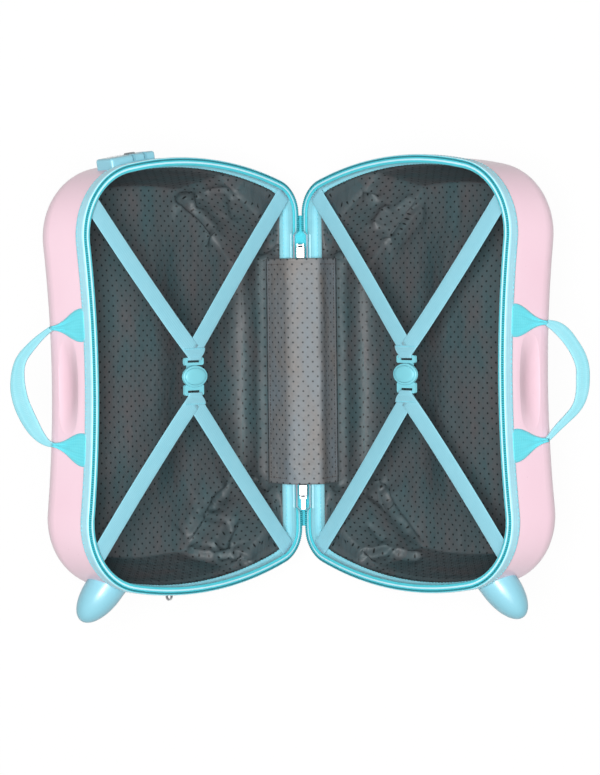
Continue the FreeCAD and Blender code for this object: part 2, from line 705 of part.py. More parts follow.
def lock_body():
    half = LOCK_LENGTH / 2
    body = box(-half, half, 0, LOCK_WIDTH, -2 * LOCK_RISE, LOCK_RISE)
    body = body.makeFillet(LOCK_ROUND, [e for e in body.Edges if e.CenterOfMass.z > -LOCK_RISE])
    middle, z = LOCK_WIDTH / 2, dial_height()
    for a in dial_places():
        wide, reach = DIAL_WIDTH / 2 + DIAL_GAP, DIAL_RADIUS + DIAL_GAP
        body = body.cut(box(a - wide, a + wide, middle - reach, middle + reach, z - reach, LOCK_RISE + 1))
    first, last = dial_places()[0], dial_places()[-1]
    body = body.cut(rod_x(DIAL_SHAFT, first - DIAL_PITCH, last + DIAL_PITCH, middle, z))
    for a in KEY_SLOTS:
        wide = KEY_SLOT_WIDTH / 2
        body = body.cut(box(a - wide, a + wide, -1, KEY_SLOT_DEPTH, KEY_SLOT_FLOOR, LOCK_RISE + 1))
    length = CATCH_LENGTH + CATCH_TRAVEL + 2 * CATCH_GAP
    start = CATCH_PLACE - CATCH_LENGTH / 2 - CATCH_GAP
    wide = CATCH_WIDTH / 2 + CATCH_GAP
    y0 = LOCK_WIDTH - CATCH_WIDTH - 2 * CATCH_GAP - 3.0
    body = body.cut(box(start, start + length, y0, y0 + 2 * wide, LOCK_RISE - CATCH_DEPTH, LOCK_RISE + 1))
    return on_lock(body).cut(tray(BINDING, 0, DEPTH))


def lock_shaft():
    first, last = dial_places()[0], dial_places()[-1]
    return on_lock(rod_x(DIAL_SHAFT, first - DIAL_PITCH, last + DIAL_PITCH, LOCK_WIDTH / 2, dial_height()))


def lock_dial(a):
    z = dial_height()
    half = DIAL_WIDTH / 2
    wheel = rod_x(DIAL_RADIUS, a - half, a + half, LOCK_WIDTH / 2, z)
    for i in range(10):
        turn = math.radians(36 * i)
        y = LOCK_WIDTH / 2 + (DIAL_RADIUS + 0.5) * math.cos(turn)
        wheel = wheel.cut(rod_x(1.0, a - half - 1, a + half + 1, y, z + (DIAL_RADIUS + 0.5) * math.sin(turn)))
    return on_lock(wheel.cut(rod_x(DIAL_SHAFT + SHAFT_GAP, a - 9, a + 9, LOCK_WIDTH / 2, z)))


def lock_catch():
    y0 = LOCK_WIDTH - CATCH_WIDTH - CATCH_GAP - 3.0
    start = CATCH_PLACE - CATCH_LENGTH / 2
    low = LOCK_RISE - CATCH_DEPTH + CATCH_GAP
    body = box(start, start + CATCH_LENGTH, y0, y0 + CATCH_WIDTH, low, LOCK_RISE + CATCH_PROUD)
    top = [e for e in body.Edges if abs(e.CenterOfMass.z - LOCK_RISE - CATCH_PROUD) < 1e-6]
    return on_lock(body.makeFillet(0.8, top))


def tow_eye():
    """Stamped steel eye riveted to the end wall just behind the rim."""
    t = EYE_THICKNESS / 2
    eye = rod_x(EYE_RADIUS, -t, t, 0, EYE_STAND)
    neck = box(-t, t, -EYE_RADIUS, EYE_RADIUS, 0, EYE_STAND)
    wide, long = EYE_FOOT_WIDTH / 2, EYE_FOOT_LENGTH / 2
    foot = box(-wide, wide, -long, long, -5, EYE_FOOT)
    seat = long - EYE_RIVET - SOFT_GAP
    rivets = [rod(EYE_RIVET, Vector(0, a, EYE_FOOT), ALONG_Z, EYE_RIVET_HEAD) for a in (-seat, seat)]
    body = eye.fuse([neck, foot] + rivets).removeSplitter()
    body = body.cut(rod_x(EYE_BORE, -t - 1, t + 1, 0, EYE_STAND))
    frame = end_frame(EYE_HEIGHT, -1)
    body = moved(body, Placement(frame.Base + Vector(EYE_X, 0, 0), frame.Rotation))
    return body.cut(tray(BINDING, 0, DEPTH))


def half_pieces():
    inner = WHEEL_OUTER_X - REAR_WIDTH
    caster = WHEEL_OUTER_X - CASTER_WIDTH
    wheel_y = FRONT_Y + CASTER_TRAIL
    rear = (inner, WHEEL_OUTER_X, REAR_Y, AXLE_REAR_Z)
    front = (caster, WHEEL_OUTER_X, wheel_y, AXLE_FRONT_Z)
    return {
        "shell": slider_clearance(shell_walls()),
        "binding": binding(),
        "zip_teeth": zip_teeth(),
        "lining": lining(),
        "hinge_cloth": hinge_cloth(),
        "rear_straps": strap_pair(1),
        "front_straps": strap_pair(-1),
        "clip_socket": clip_socket(),
        "clip_plug": clip_plug(),
        "clip_button": clip_button(),
        "handle_tabs": handle_tabs(),
        "handle_grip": handle_grip(),
        "horn": horn(),
        "screws": screws(),
        "rear_bracket": rear_bracket(),
        "rear_axle": rear_axle(),
        "rear_hub": hub(REAR_HUB, REAR_AXLE + SHAFT_GAP, *rear),
        "rear_tyre": tyre(REAR_RADIUS, REAR_HUB, *rear),
        "caster_plate": caster_plate(),
        "caster_stem": caster_stem(),
        "caster_fork": caster_fork(),
        "caster_axle": caster_axle(),
        "caster_hub": hub(CASTER_HUB, CASTER_AXLE + SHAFT_GAP, *front),
        "caster_tyre": tyre(CASTER_RADIUS, CASTER_HUB, *front),
    }


def left_pieces():
    pieces = {"lock_body": lock_body(), "lock_shaft": lock_shaft(), "lock_catch": lock_catch()}
    for number, place in enumerate(dial_places(), 1):
        pieces[f"lock_dial_{number}"] = lock_dial(place)
    pieces["tow_eye"] = tow_eye()
    return pieces


def hinge_height():
    """Height of the hinge line when the leaned case stands on its tyres' outer edges."""
    lean = math.radians(LEAN)
    x, z = WHEEL_OUTER_X - TYRE_ROUND, GROUND - TYRE_ROUND
    return x * math.sin(lean) + z * math.cos(lean) + TYRE_ROUND


def opened(shape, side):
    """Leans a piece of the closed right half into place on the given side."""
    shape = shape.copy() if side == "right" else shape.mirror(Vector(), ALONG_X)
    shape.rotate(Vector(), ALONG_Y, LEAN if side == "right" else -LEAN)
    return lifted(shape)


def lifted(shape):
    shape.translate(Vector(0, -MIDDLE_Y, hinge_height()))
    return shape


HALF = half_pieces()
LEFT = left_pieces()
MIDDLE_Y = (HALF["horn"].optimalBoundingBox().YMin + LEFT["lock_body"].optimalBoundingBox().YMax) / 2

NODES = {}
for half_side in ("left", "right"):
    for piece, solid in HALF.items():
        NODES[f"{half_side}_{piece}"] = opened(solid, half_side)
for piece, solid in LEFT.items():
    NODES[piece] = opened(solid, "left")
NODES["rear_zip_slider"] = lifted(slider(1))
NODES["front_zip_slider"] = lifted(slider(-1))
NODES["rear_zip_pull"] = lifted(pull(1, 90.0))
NODES["front_zip_pull"] = lifted(pull(-1, 0.0))

os.makedirs("parts", exist_ok=True)
for name, solid in NODES.items():
    solid.exportStep(f"parts/{name}.step")
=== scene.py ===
import json
import math

import bmesh
import bpy
import numpy as np
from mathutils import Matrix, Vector, noise


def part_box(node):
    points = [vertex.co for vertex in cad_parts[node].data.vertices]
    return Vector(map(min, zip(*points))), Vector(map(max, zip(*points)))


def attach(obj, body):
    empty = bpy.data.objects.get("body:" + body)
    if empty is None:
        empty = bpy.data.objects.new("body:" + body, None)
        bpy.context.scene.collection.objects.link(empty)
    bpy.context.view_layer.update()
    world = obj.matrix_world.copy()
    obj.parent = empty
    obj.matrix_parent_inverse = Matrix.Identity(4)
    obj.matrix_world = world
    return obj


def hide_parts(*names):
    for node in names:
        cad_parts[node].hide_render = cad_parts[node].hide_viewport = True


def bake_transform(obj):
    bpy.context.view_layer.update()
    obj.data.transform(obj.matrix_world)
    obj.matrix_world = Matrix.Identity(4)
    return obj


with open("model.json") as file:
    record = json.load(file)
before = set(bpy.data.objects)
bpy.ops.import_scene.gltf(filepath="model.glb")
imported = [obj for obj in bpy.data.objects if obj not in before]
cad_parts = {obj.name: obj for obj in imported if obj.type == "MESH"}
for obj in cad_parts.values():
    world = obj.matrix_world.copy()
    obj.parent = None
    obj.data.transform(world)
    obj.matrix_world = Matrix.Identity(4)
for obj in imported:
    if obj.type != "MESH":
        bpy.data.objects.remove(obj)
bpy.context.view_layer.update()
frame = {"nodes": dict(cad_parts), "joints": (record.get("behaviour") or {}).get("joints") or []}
NODES = frame["nodes"]
SIDES = ("left", "right")

# Sizes of the case in millimetres. Each half is described as it stands when the case is closed:
# depth out from the parting plane, along from the middle towards the rear, height above the hinge.
LENGTH = 483.0
HEIGHT = 315.0
SADDLE_DIP = 9.0
END_BOW_RADIUS = 420.0
END_BOW_HEIGHT = 160.0
TOP_CORNER = 80.0
HINGE_CORNER = 40.0
LEAN = math.radians(45.0)
SHELL_INSET = 1.8
LIP_INSET = 6.4
MOUTH = 19.0
LINING_INSET = 8.8
LINING_FLOOR = 91.0
LINING_ROUND = 28.0
FLOOR_MIDDLE = (0.0, 158.0)
CLOTH_HALF = 131.0
STRAP_WIDTH = 20.0
STRAP_DEPTH = 7.2
STRAP_THICK = 1.4
CLIP_HEIGHT = 160.0
CLIP_BAR_END = 21.0
HANDLE_MIDDLE = -7.0
HANDLE_SPAN = 126.0
TAB_SPLAY = 4.0
TAB_END = 66.0
KNUCKLE = 2.5
KNUCKLE_LENGTH = 12.0
# Place and reach of the shade painted into the shell in the finger hollows under the handles.
HOLLOW_DEPTH = 44.0
HOLLOW_REACH = 24.0
HOLLOW_HALF_LENGTH = 64.0

HINGE = next(j for j in frame["joints"] if j["name"] == "lid_hinge")
HINGE_Z = HINGE["pos_m"][2]
RIM_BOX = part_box("left_binding")
CENTRE_Y = (RIM_BOX[0].y + RIM_BOX[1].y) / 2


def to_row(points, side):
    """Places of (depth, along, height) points in millimetres in the open case, in metres."""
    p = np.asarray(points, float)
    out = np.empty_like(p)
    sign = 1.0 if side == "right" else -1.0
    c, s = math.cos(LEAN), math.sin(LEAN)
    out[..., 0] = sign * (p[..., 0] * c + p[..., 2] * s) / 1000.0
    out[..., 1] = p[..., 1] / 1000.0 + CENTRE_Y
    out[..., 2] = (p[..., 2] * c - p[..., 0] * s) / 1000.0 + HINGE_Z
    return out


def running_length(line):
    """Distance along a line of points from its first point to each."""
    return np.concatenate([[0.0], np.cumsum(np.linalg.norm(np.diff(line, axis=0), axis=1))])


def rim(step):
    """Points of the side outline, about step apart, with outward normals."""
    bow, top_r, low_r = END_BOW_RADIUS, TOP_CORNER, HINGE_CORNER
    end = np.array([LENGTH / 2 - bow, END_BOW_HEIGHT])
    top_z = HEIGHT - top_r
    top = np.array([end[0] + math.sqrt((bow - top_r) ** 2 - (top_z - end[1]) ** 2), top_z])
    low = np.array([end[0] + math.sqrt((bow - low_r) ** 2 - (low_r - end[1]) ** 2), low_r])
    dip = (top[0] ** 2 + SADDLE_DIP ** 2) / (2 * SADDLE_DIP) - top_r
    saddle = np.array([0.0, HEIGHT - SADDLE_DIP + dip])
    to_low = math.atan2(*(low - end)[::-1])
    to_top = math.atan2(*(top - end)[::-1])
    to_saddle = math.atan2(*(saddle - top)[::-1])
    points, normals = [], []

    def bend(centre, radius, a0, a1, hollow=False):
        count = max(3, round(abs(a1 - a0) * radius / step))
        for i in range(count):
            a = a0 + (a1 - a0) * i / count
            d = np.array([math.cos(a), math.sin(a)])
            points.append(centre + d * radius)
            normals.append(-d if hollow else d)

    for i in range(round(low[0] / step)):
        points.append(np.array([low[0] * i / round(low[0] / step), 0.0]))
        normals.append(np.array([0.0, -1.0]))
    bend(low, low_r, -math.pi / 2, to_low)
    bend(end, bow, to_low, to_top)
    bend(top, top_r, to_top, to_saddle)
    bend(saddle, dip, to_saddle - math.pi, -math.pi / 2, hollow=True)
    points.append(saddle - np.array([0.0, dip]))
    normals.append(np.array([0.0, 1.0]))
    p, n = np.array(points), np.array(normals)
    flip = np.array([-1.0, 1.0])
    p = np.vstack([p, p[1:-1][::-1] * flip])
    n = np.vstack([n, n[1:-1][::-1] * flip])
    return p, n


def smooth(a, b, x):
    """Soft step from 0 at a to 1 at b."""
    t = np.clip((np.asarray(x, float) - a) / (b - a), 0.0, 1.0)
    return t * t * (3 - 2 * t)


def grid_faces(rows, columns, closed=False):
    """Four-sided faces of a grid of points, row by row. A closed grid joins its last column to its first."""
    faces = []
    last = columns if closed else columns - 1
    for r in range(rows - 1):
        for c in range(last):
            d = (c + 1) % columns
            faces.append((r * columns + c, r * columns + d, (r + 1) * columns + d, (r + 1) * columns + c))
    return faces


def tube(rows, around, along):
    """Faces of a tube of closed rings, with uv from the places around a ring and along the tube."""
    columns = len(around) - 1
    uv = []
    for r in range(rows - 1):
        for c in range(columns):
            x0, x1, y0, y1 = around[c], around[c + 1], along[r], along[r + 1]
            uv.append([(x0, y0), (x1, y0), (x1, y1), (x0, y1)])
    return grid_faces(rows, columns, closed=True), uv


def spline(knots, count):
    """Smooth line through the knots, even in its parameter."""
    k = np.array(knots, float)
    k = np.vstack([2 * k[0] - k[1], k, 2 * k[-1] - k[-2]])
    out = []
    for a, b, c, d in zip(k, k[1:], k[2:], k[3:]):
        bend, twist = 2 * a - 5 * b + 4 * c - d, 3 * b - a - 3 * c + d
        for t in np.linspace(0, 1, count, endpoint=False):
            out.append(0.5 * (2 * b + (c - a) * t + bend * t ** 2 + twist * t ** 3))
    out.append(k[-2])
    return np.array(out)


def make_piece(name, points, faces, material, uv=None, flip=False):
    """Mesh object at the origin. uv gives one (x, y) for each corner of each face, in millimetres."""
    mesh = bpy.data.meshes.new(name)
    order = [tuple(reversed(f)) for f in faces] if flip else faces
    mesh.from_pydata([tuple(map(float, p)) for p in points], [], order)
    if uv is not None:
        layer = mesh.uv_layers.new(name="cloth")
        corners = [list(reversed(u)) for u in uv] if flip else uv
        flat = np.array([c for face in corners for c in face], np.float32)
        layer.data.foreach_set("uv", flat.ravel())
    mesh.materials.append(material)
    mesh.polygons.foreach_set("use_smooth", [True] * len(mesh.polygons))
    mesh.update()
    obj = bpy.data.objects.new(name, mesh)
    bpy.context.scene.collection.objects.link(obj)
    return obj


def plain_mesh(obj):
    """Turns the evaluated object into a plain mesh without modifiers."""
    bpy.context.view_layer.update()
    graph = bpy.context.evaluated_depsgraph_get()
    mesh = bpy.data.meshes.new_from_object(obj.evaluated_get(graph), depsgraph=graph)
    old = obj.data
    obj.modifiers.clear()
    obj.data = mesh
    if old.users == 0:
        bpy.data.meshes.remove(old)


def linear(hex_colour):
    """Linear RGBA of an sRGB hex colour."""
    parts = [int(hex_colour[i:i + 2], 16) / 255 for i in (1, 3, 5)]
    return tuple(c / 12.92 if c <= 0.04045 else ((c + 0.055) / 1.055) ** 2.4 for c in parts) + (1.0,)


def add(tree, kind, inputs=None, **settings):
    """Adds a node with its settings, and fills its inputs with values or links."""
    node = tree.nodes.new(kind)
    for key, value in settings.items():
        setattr(node, key, value)
    for key, value in (inputs or {}).items():
        if isinstance(value, bpy.types.NodeSocket):
            tree.links.new(value, node.inputs[key])
        else:
            node.inputs[key].default_value = value
    return node


def math_step(tree, operation, *values):
    """Output of a step of arithmetic on values or links."""
    return add(tree, "ShaderNodeMath", dict(enumerate(values)), operation=operation).outputs[0]


def vector_step(tree, operation, *values, output=0, **inputs):
    """Output of a step of vector arithmetic on values or links."""
    given = {**dict(enumerate(values)), **inputs}
    return add(tree, "ShaderNodeVectorMath", given, operation=operation).outputs[output]


def mix_colours(tree, factor, first, second):
    """Colour between two others, each a linear colour or a link, by a linked factor."""
    mix = add(tree, "ShaderNodeMix", {"Factor": factor}, data_type="RGBA")
    for key, colour in (("A", first), ("B", second)):
        if isinstance(colour, bpy.types.NodeSocket):
            tree.links.new(colour, mix.inputs[key])
        else:
            mix.inputs[key].default_value = colour
    return mix.outputs["Result"]


def add_bump(tree, bsdf, height, strength, distance):
    bump = add(tree, "ShaderNodeBump", {"Height": height, "Strength": strength, "Distance": distance})
    tree.links.new(bump.outputs["Normal"], bsdf.inputs["Normal"])


def new_material(name, **shader):
    """Principled material; constants go on the shader's own sockets."""
    material = bpy.data.materials.new(name)
    material.use_nodes = True
    tree = material.node_tree
    bsdf = tree.nodes["Principled BSDF"]
    for key, value in shader.items():
        bsdf.inputs[key.replace("_", " ")].default_value = value
    return material, tree, bsdf


def mottled_plastic(name, hex_colour, shade, roughness, peel_mm=2.2, relief=0.03, **shader):
    """Moulded plastic: even colour with a faint cloudiness, and the slight orange peel of a mould skin."""
    material, tree, bsdf = new_material(name, IOR=1.5, **shader)
    place = add(tree, "ShaderNodeTexCoord").outputs["Object"]
    cloud = add(tree, "ShaderNodeTexNoise", {"Vector": place, "Scale": 14.0, "Detail": 2.0})
    colour = mix_colours(tree, cloud.outputs["Fac"], linear(hex_colour), linear(shade))
    tree.links.new(colour, bsdf.inputs["Base Color"])
    peel = add(tree, "ShaderNodeTexNoise", {"Vector": place, "Scale": 1000.0 / peel_mm / 2, "Detail": 1.0})
    rough = add(tree, "ShaderNodeMapRange", {"Value": peel.outputs["Fac"], "To Min": roughness - 0.05,
                                             "To Max": roughness + 0.06})
    tree.links.new(rough.outputs["Result"], bsdf.inputs["Roughness"])
    add_bump(tree, bsdf, peel.outputs["Fac"], relief, 0.001)
    return material


# Scale of a wave texture whose bands are one unit apart.
WAVE_PITCH = 0.31416
DOT_PITCH = 11.3
DOT_RADIUS = 1.05
WEAVE_RELIEF = 0.35
SCRATCH_MM = 0.6


def woven_tape(name, hex_colour, dark, thread_mm, rib_mm):
    """Woven polyester tape: cross threads and lengthwise ribs, drawn coarser than real so that they show."""
    sheen = {"Sheen_Weight": 0.25, "Sheen_Roughness": 0.5}
    material, tree, bsdf = new_material(name, IOR=1.46, Roughness=0.72, **sheen)
    place = add(tree, "ShaderNodeUVMap", uv_map="cloth").outputs["UV"]
    wave = {"Vector": place, "Distortion": 0.6, "Detail": 1.0, "Detail Scale": 3.0}
    across = add(tree, "ShaderNodeTexWave", {**wave, "Scale": WAVE_PITCH / thread_mm}, bands_direction="Y")
    along = add(tree, "ShaderNodeTexWave", {**wave, "Scale": WAVE_PITCH / rib_mm}, bands_direction="X")
    both = math_step(tree, "MULTIPLY", across.outputs["Fac"], along.outputs["Fac"])
    wear = add(tree, "ShaderNodeTexNoise", {"Vector": place, "Scale": 0.06, "Detail": 3.0})
    shade = math_step(tree, "MULTIPLY_ADD", both, 0.55, 0.2)
    tone = math_step(tree, "ADD", shade, wear.outputs["Fac"])
    tree.links.new(mix_colours(tree, tone, linear(dark), linear(hex_colour)), bsdf.inputs["Base Color"])
    add_bump(tree, bsdf, both, WEAVE_RELIEF, 0.0004)
    return material


def dotted_satin(name, cool, warm, dot):
    """Satin lining cloth: its tone shifts between cool and warm, and small dark dots are printed on it."""
    material, tree, bsdf = new_material(name, IOR=1.5, Roughness=0.52, Specular_IOR_Level=0.35)
    place = add(tree, "ShaderNodeUVMap", uv_map="cloth").outputs["UV"]
    cell = vector_step(tree, "SCALE", place, Scale=1.0 / DOT_PITCH)
    spots = []
    for offset in (0.0, 0.5):
        part = vector_step(tree, "FRACTION", vector_step(tree, "ADD", cell, (offset, offset, 0.0)))
        middle = vector_step(tree, "SUBTRACT", part, (0.5, 0.5, 0.0))
        spots.append(vector_step(tree, "LENGTH", middle, output="Value"))
    near = math_step(tree, "MINIMUM", *spots)
    edge = {"From Min": (DOT_RADIUS + 0.4) / DOT_PITCH, "From Max": (DOT_RADIUS - 0.3) / DOT_PITCH}
    printed = add(tree, "ShaderNodeMapRange", {"Value": near, **edge})
    stretch = vector_step(tree, "MULTIPLY", place, (0.011, 0.03, 1.0))
    cloud = {"Vector": stretch, "Scale": 1.0, "Detail": 4.0, "Roughness": 0.6}
    shot = add(tree, "ShaderNodeTexNoise", cloud)
    tone = add(tree, "ShaderNodeMapRange", {"Value": shot.outputs["Fac"], "From Min": 0.36, "From Max": 0.66})
    ground = mix_colours(tree, tone.outputs["Result"], linear(cool), linear(warm))
    colour = mix_colours(tree, printed.outputs["Result"], ground, linear(dot))
    tree.links.new(colour, bsdf.inputs["Base Color"])
    wave = {"Vector": place, "Scale": WAVE_PITCH / 1.4, "Distortion": 0.8, "Detail": 1.0, "Detail Scale": 2.0}
    weft = add(tree, "ShaderNodeTexWave", wave, bands_direction="DIAGONAL")
    creases = {"Vector": place, "Scale": 0.09, "Detail": 3.0, "Roughness": 0.55}
    crumple = add(tree, "ShaderNodeTexNoise", creases)
    grain = math_step(tree, "MULTIPLY", weft.outputs["Fac"], 0.05)
    add_bump(tree, bsdf, math_step(tree, "ADD", crumple.outputs["Fac"], grain), 0.5, 0.003)
    return material


def drawn_metal(name, hex_colour, roughness):
    """Plated metal with fine drawn scratches that widen the highlights in one direction."""
    material, tree, bsdf = new_material(name, Metallic=1.0, Base_Color=linear(hex_colour))
    place = add(tree, "ShaderNodeTexCoord").outputs["Object"]
    lines = vector_step(tree, "MULTIPLY", place, (1000 / SCRATCH_MM, 60.0, 1000 / SCRATCH_MM))
    grain = add(tree, "ShaderNodeTexNoise", {"Vector": lines, "Scale": 1.0, "Detail": 2.0})
    rough = add(tree, "ShaderNodeMapRange", {"Value": grain.outputs["Fac"], "To Min": roughness - 0.08,
                                             "To Max": roughness + 0.1})
    tree.links.new(rough.outputs["Result"], bsdf.inputs["Roughness"])
    add_bump(tree, bsdf, grain.outputs["Fac"], 0.05, 0.0003)
    return material


def paint_hollow_shade(material, hex_colour):
    """Paints shade into the plastic: greys it softly in the finger hollows under the handles."""
    tree = material.node_tree
    colour = tree.nodes["Principled BSDF"].inputs["Base Color"]
    plain = colour.links[0].from_socket
    place = add(tree, "ShaderNodeTexCoord").outputs["Object"]
    reach = [1000.0 / r for r in (HOLLOW_REACH, HOLLOW_HALF_LENGTH, HOLLOW_REACH)]
    gaps = []
    for side in SIDES:
        middle = tuple(to_row((HOLLOW_DEPTH, HANDLE_MIDDLE, HEIGHT - SADDLE_DIP), side))
        part = vector_step(tree, "MULTIPLY", vector_step(tree, "SUBTRACT", place, middle), reach)
        gaps.append(vector_step(tree, "LENGTH", part, output="Value"))
    near = math_step(tree, "MINIMUM", *gaps)
    amount = add(tree, "ShaderNodeMapRange", {"Value": near, "From Min": 1.0, "From Max": 0.15},
                 interpolation_type="SMOOTHSTEP")
    tree.links.new(mix_colours(tree, amount.outputs["Result"], plain, linear(hex_colour)), colour)


PINK_SHELL = mottled_plastic("moulded_pink_abs", "#F6D7E3", "#F1CDDB", 0.3, relief=0.02, Coat_Weight=0.1)
# Painted shade: the pink plastic is greyed in the finger hollows under the handles.
paint_hollow_shade(PINK_SHELL, "#D6B4C0")
AQUA_PLASTIC = mottled_plastic("moulded_aqua_abs", "#8AC2D1", "#82BBCB", 0.3, relief=0.01)
CLIP_PLASTIC = mottled_plastic("moulded_aqua_acetal", "#85CEDA", "#76C5D2", 0.4)
GREY_NYLON = mottled_plastic("moulded_grey_nylon", "#8C9396", "#7D8487", 0.5, relief=0.06)
DIAL_WHITE = mottled_plastic("moulded_white_dial", "#EEF1F1", "#E2E6E6", 0.4)
TREAD = mottled_plastic("wheel_tread_polyurethane", "#3A3E40", "#2E3234", 0.6, peel_mm=1.5, relief=0.12)
TEETH = mottled_plastic("zip_teeth_acetal", "#16808C", "#126F7B", 0.35)
STEEL = drawn_metal("plated_steel", "#C3C6C8", 0.3)
BRIGHT_ZINC = drawn_metal("plated_zinc_slider", "#B2B0B2", 0.42)
PALE_TAPE = woven_tape("pale_aqua_binding_weave", "#A7DDEA", "#86C8DB", 1.6, 3.4)
# Pale strips along the binding's lip: their pale colour is a painted highlight of the tape's fold.
PAINTED_HIGHLIGHT_TAPE = woven_tape("pale_painted_highlight_weave", "#BFE6F0", "#A3D6E4", 1.6, 2.0)
INNER_TAPE = woven_tape("aqua_inner_tape_weave", "#91D5E3", "#6DC2D5", 1.6, 3.2)
ZIP_TAPE = woven_tape("teal_zip_weave", "#45C4D2", "#2FA9B8", 1.4, 2.4)
STRAP_WEAVE = woven_tape("aqua_elastic_weave", "#8AC5D4", "#76B9CA", 1.8, 2.6)
HANDLE_WEAVE = woven_tape("aqua_webbing_weave", "#90CDD8", "#70BFCC", 2.0, 3.4)
TAB_WEAVE = woven_tape("aqua_webbing_fold", "#68DAE7", "#47C8D8", 2.0, 3.4)
LINING = dotted_satin("dotted_satin_lining", "#3F5256", "#505052", "#0C1213")
GUSSET = dotted_satin("dotted_satin_gusset", "#6B747A", "#726F6D", "#1E2426")
THREAD = mottled_plastic("sewing_thread_polyester", "#7FD6E4", "#6AC8D8", 0.6)
DARK_THREAD = mottled_plastic("dark_sewing_thread_polyester", "#4A4341", "#3A3432", 0.6)

FINISH = {
    "shell": PINK_SHELL, "horn": AQUA_PLASTIC, "clip_socket": CLIP_PLASTIC, "clip_plug": CLIP_PLASTIC,
    "clip_button": CLIP_PLASTIC, "screws": STEEL, "rear_bracket": GREY_NYLON, "rear_axle": STEEL,
    "rear_hub": AQUA_PLASTIC, "rear_tyre": TREAD, "caster_plate": GREY_NYLON, "caster_stem": STEEL,
    "caster_fork": GREY_NYLON, "caster_axle": STEEL, "caster_hub": AQUA_PLASTIC, "caster_tyre": TREAD,
    "lock_body": AQUA_PLASTIC, "lock_shaft": STEEL, "lock_catch": GREY_NYLON, "lock_dial_1": DIAL_WHITE,
    "lock_dial_2": DIAL_WHITE, "lock_dial_3": DIAL_WHITE, "tow_eye": STEEL, "rear_zip_slider": BRIGHT_ZINC,
    "front_zip_slider": BRIGHT_ZINC, "rear_zip_pull": BRIGHT_ZINC, "front_zip_pull": BRIGHT_ZINC,
}


def finish_nodes():
    """Gives each solid that stays as the CAD made it its material."""
    for name, node in NODES.items():
        kind = name.split("_", 1)[1] if name.split("_", 1)[0] in SIDES else name
        if kind in FINISH:
            node.data.materials.clear()
            node.data.materials.append(FINISH[kind])


# Lining: wall, rounded corner and floor, drawn as rings round the case.
LINING_START = MOUTH + 0.6
WALL_RINGS = 18
CORNER_RINGS = 19
FINE_RINGS = 44
FLOOR_RINGS = 20
LINING_THICK = 0.0007


def lining_profile():
    """(inset, depth, normal in inset, normal in depth) from the mouth to the floor's edge."""
    rows = [(LIP_INSET + 0.2, MOUTH - 1.0, 0.0, -1.0)]
    wall_end = LINING_FLOOR - LINING_ROUND
    for d in np.linspace(LINING_START, wall_end, WALL_RINGS):
        rows.append((LINING_INSET, d, 1.0, 0.0))
    for a in np.linspace(0, math.pi / 2, CORNER_RINGS)[1:]:
        inset = LINING_INSET + LINING_ROUND * (1 - math.cos(a))
        rows.append((inset, wall_end + LINING_ROUND * math.sin(a), math.cos(a), -math.sin(a)))
    return rows


# Slack lining in the hinge-side corners: the cloth bridges each corner as a flat facet, which passes through
# a place on the hinge wall, one on the end wall and one on the floor.
FACETS = (
    ((30.0, 138.0, 9.0), (34.0, 231.0, 104.0), (91.0, 172.0, 74.0)),
    ((30.0, -144.0, 9.0), (34.0, -231.0, 98.0), (91.0, -166.0, 70.0)),
)
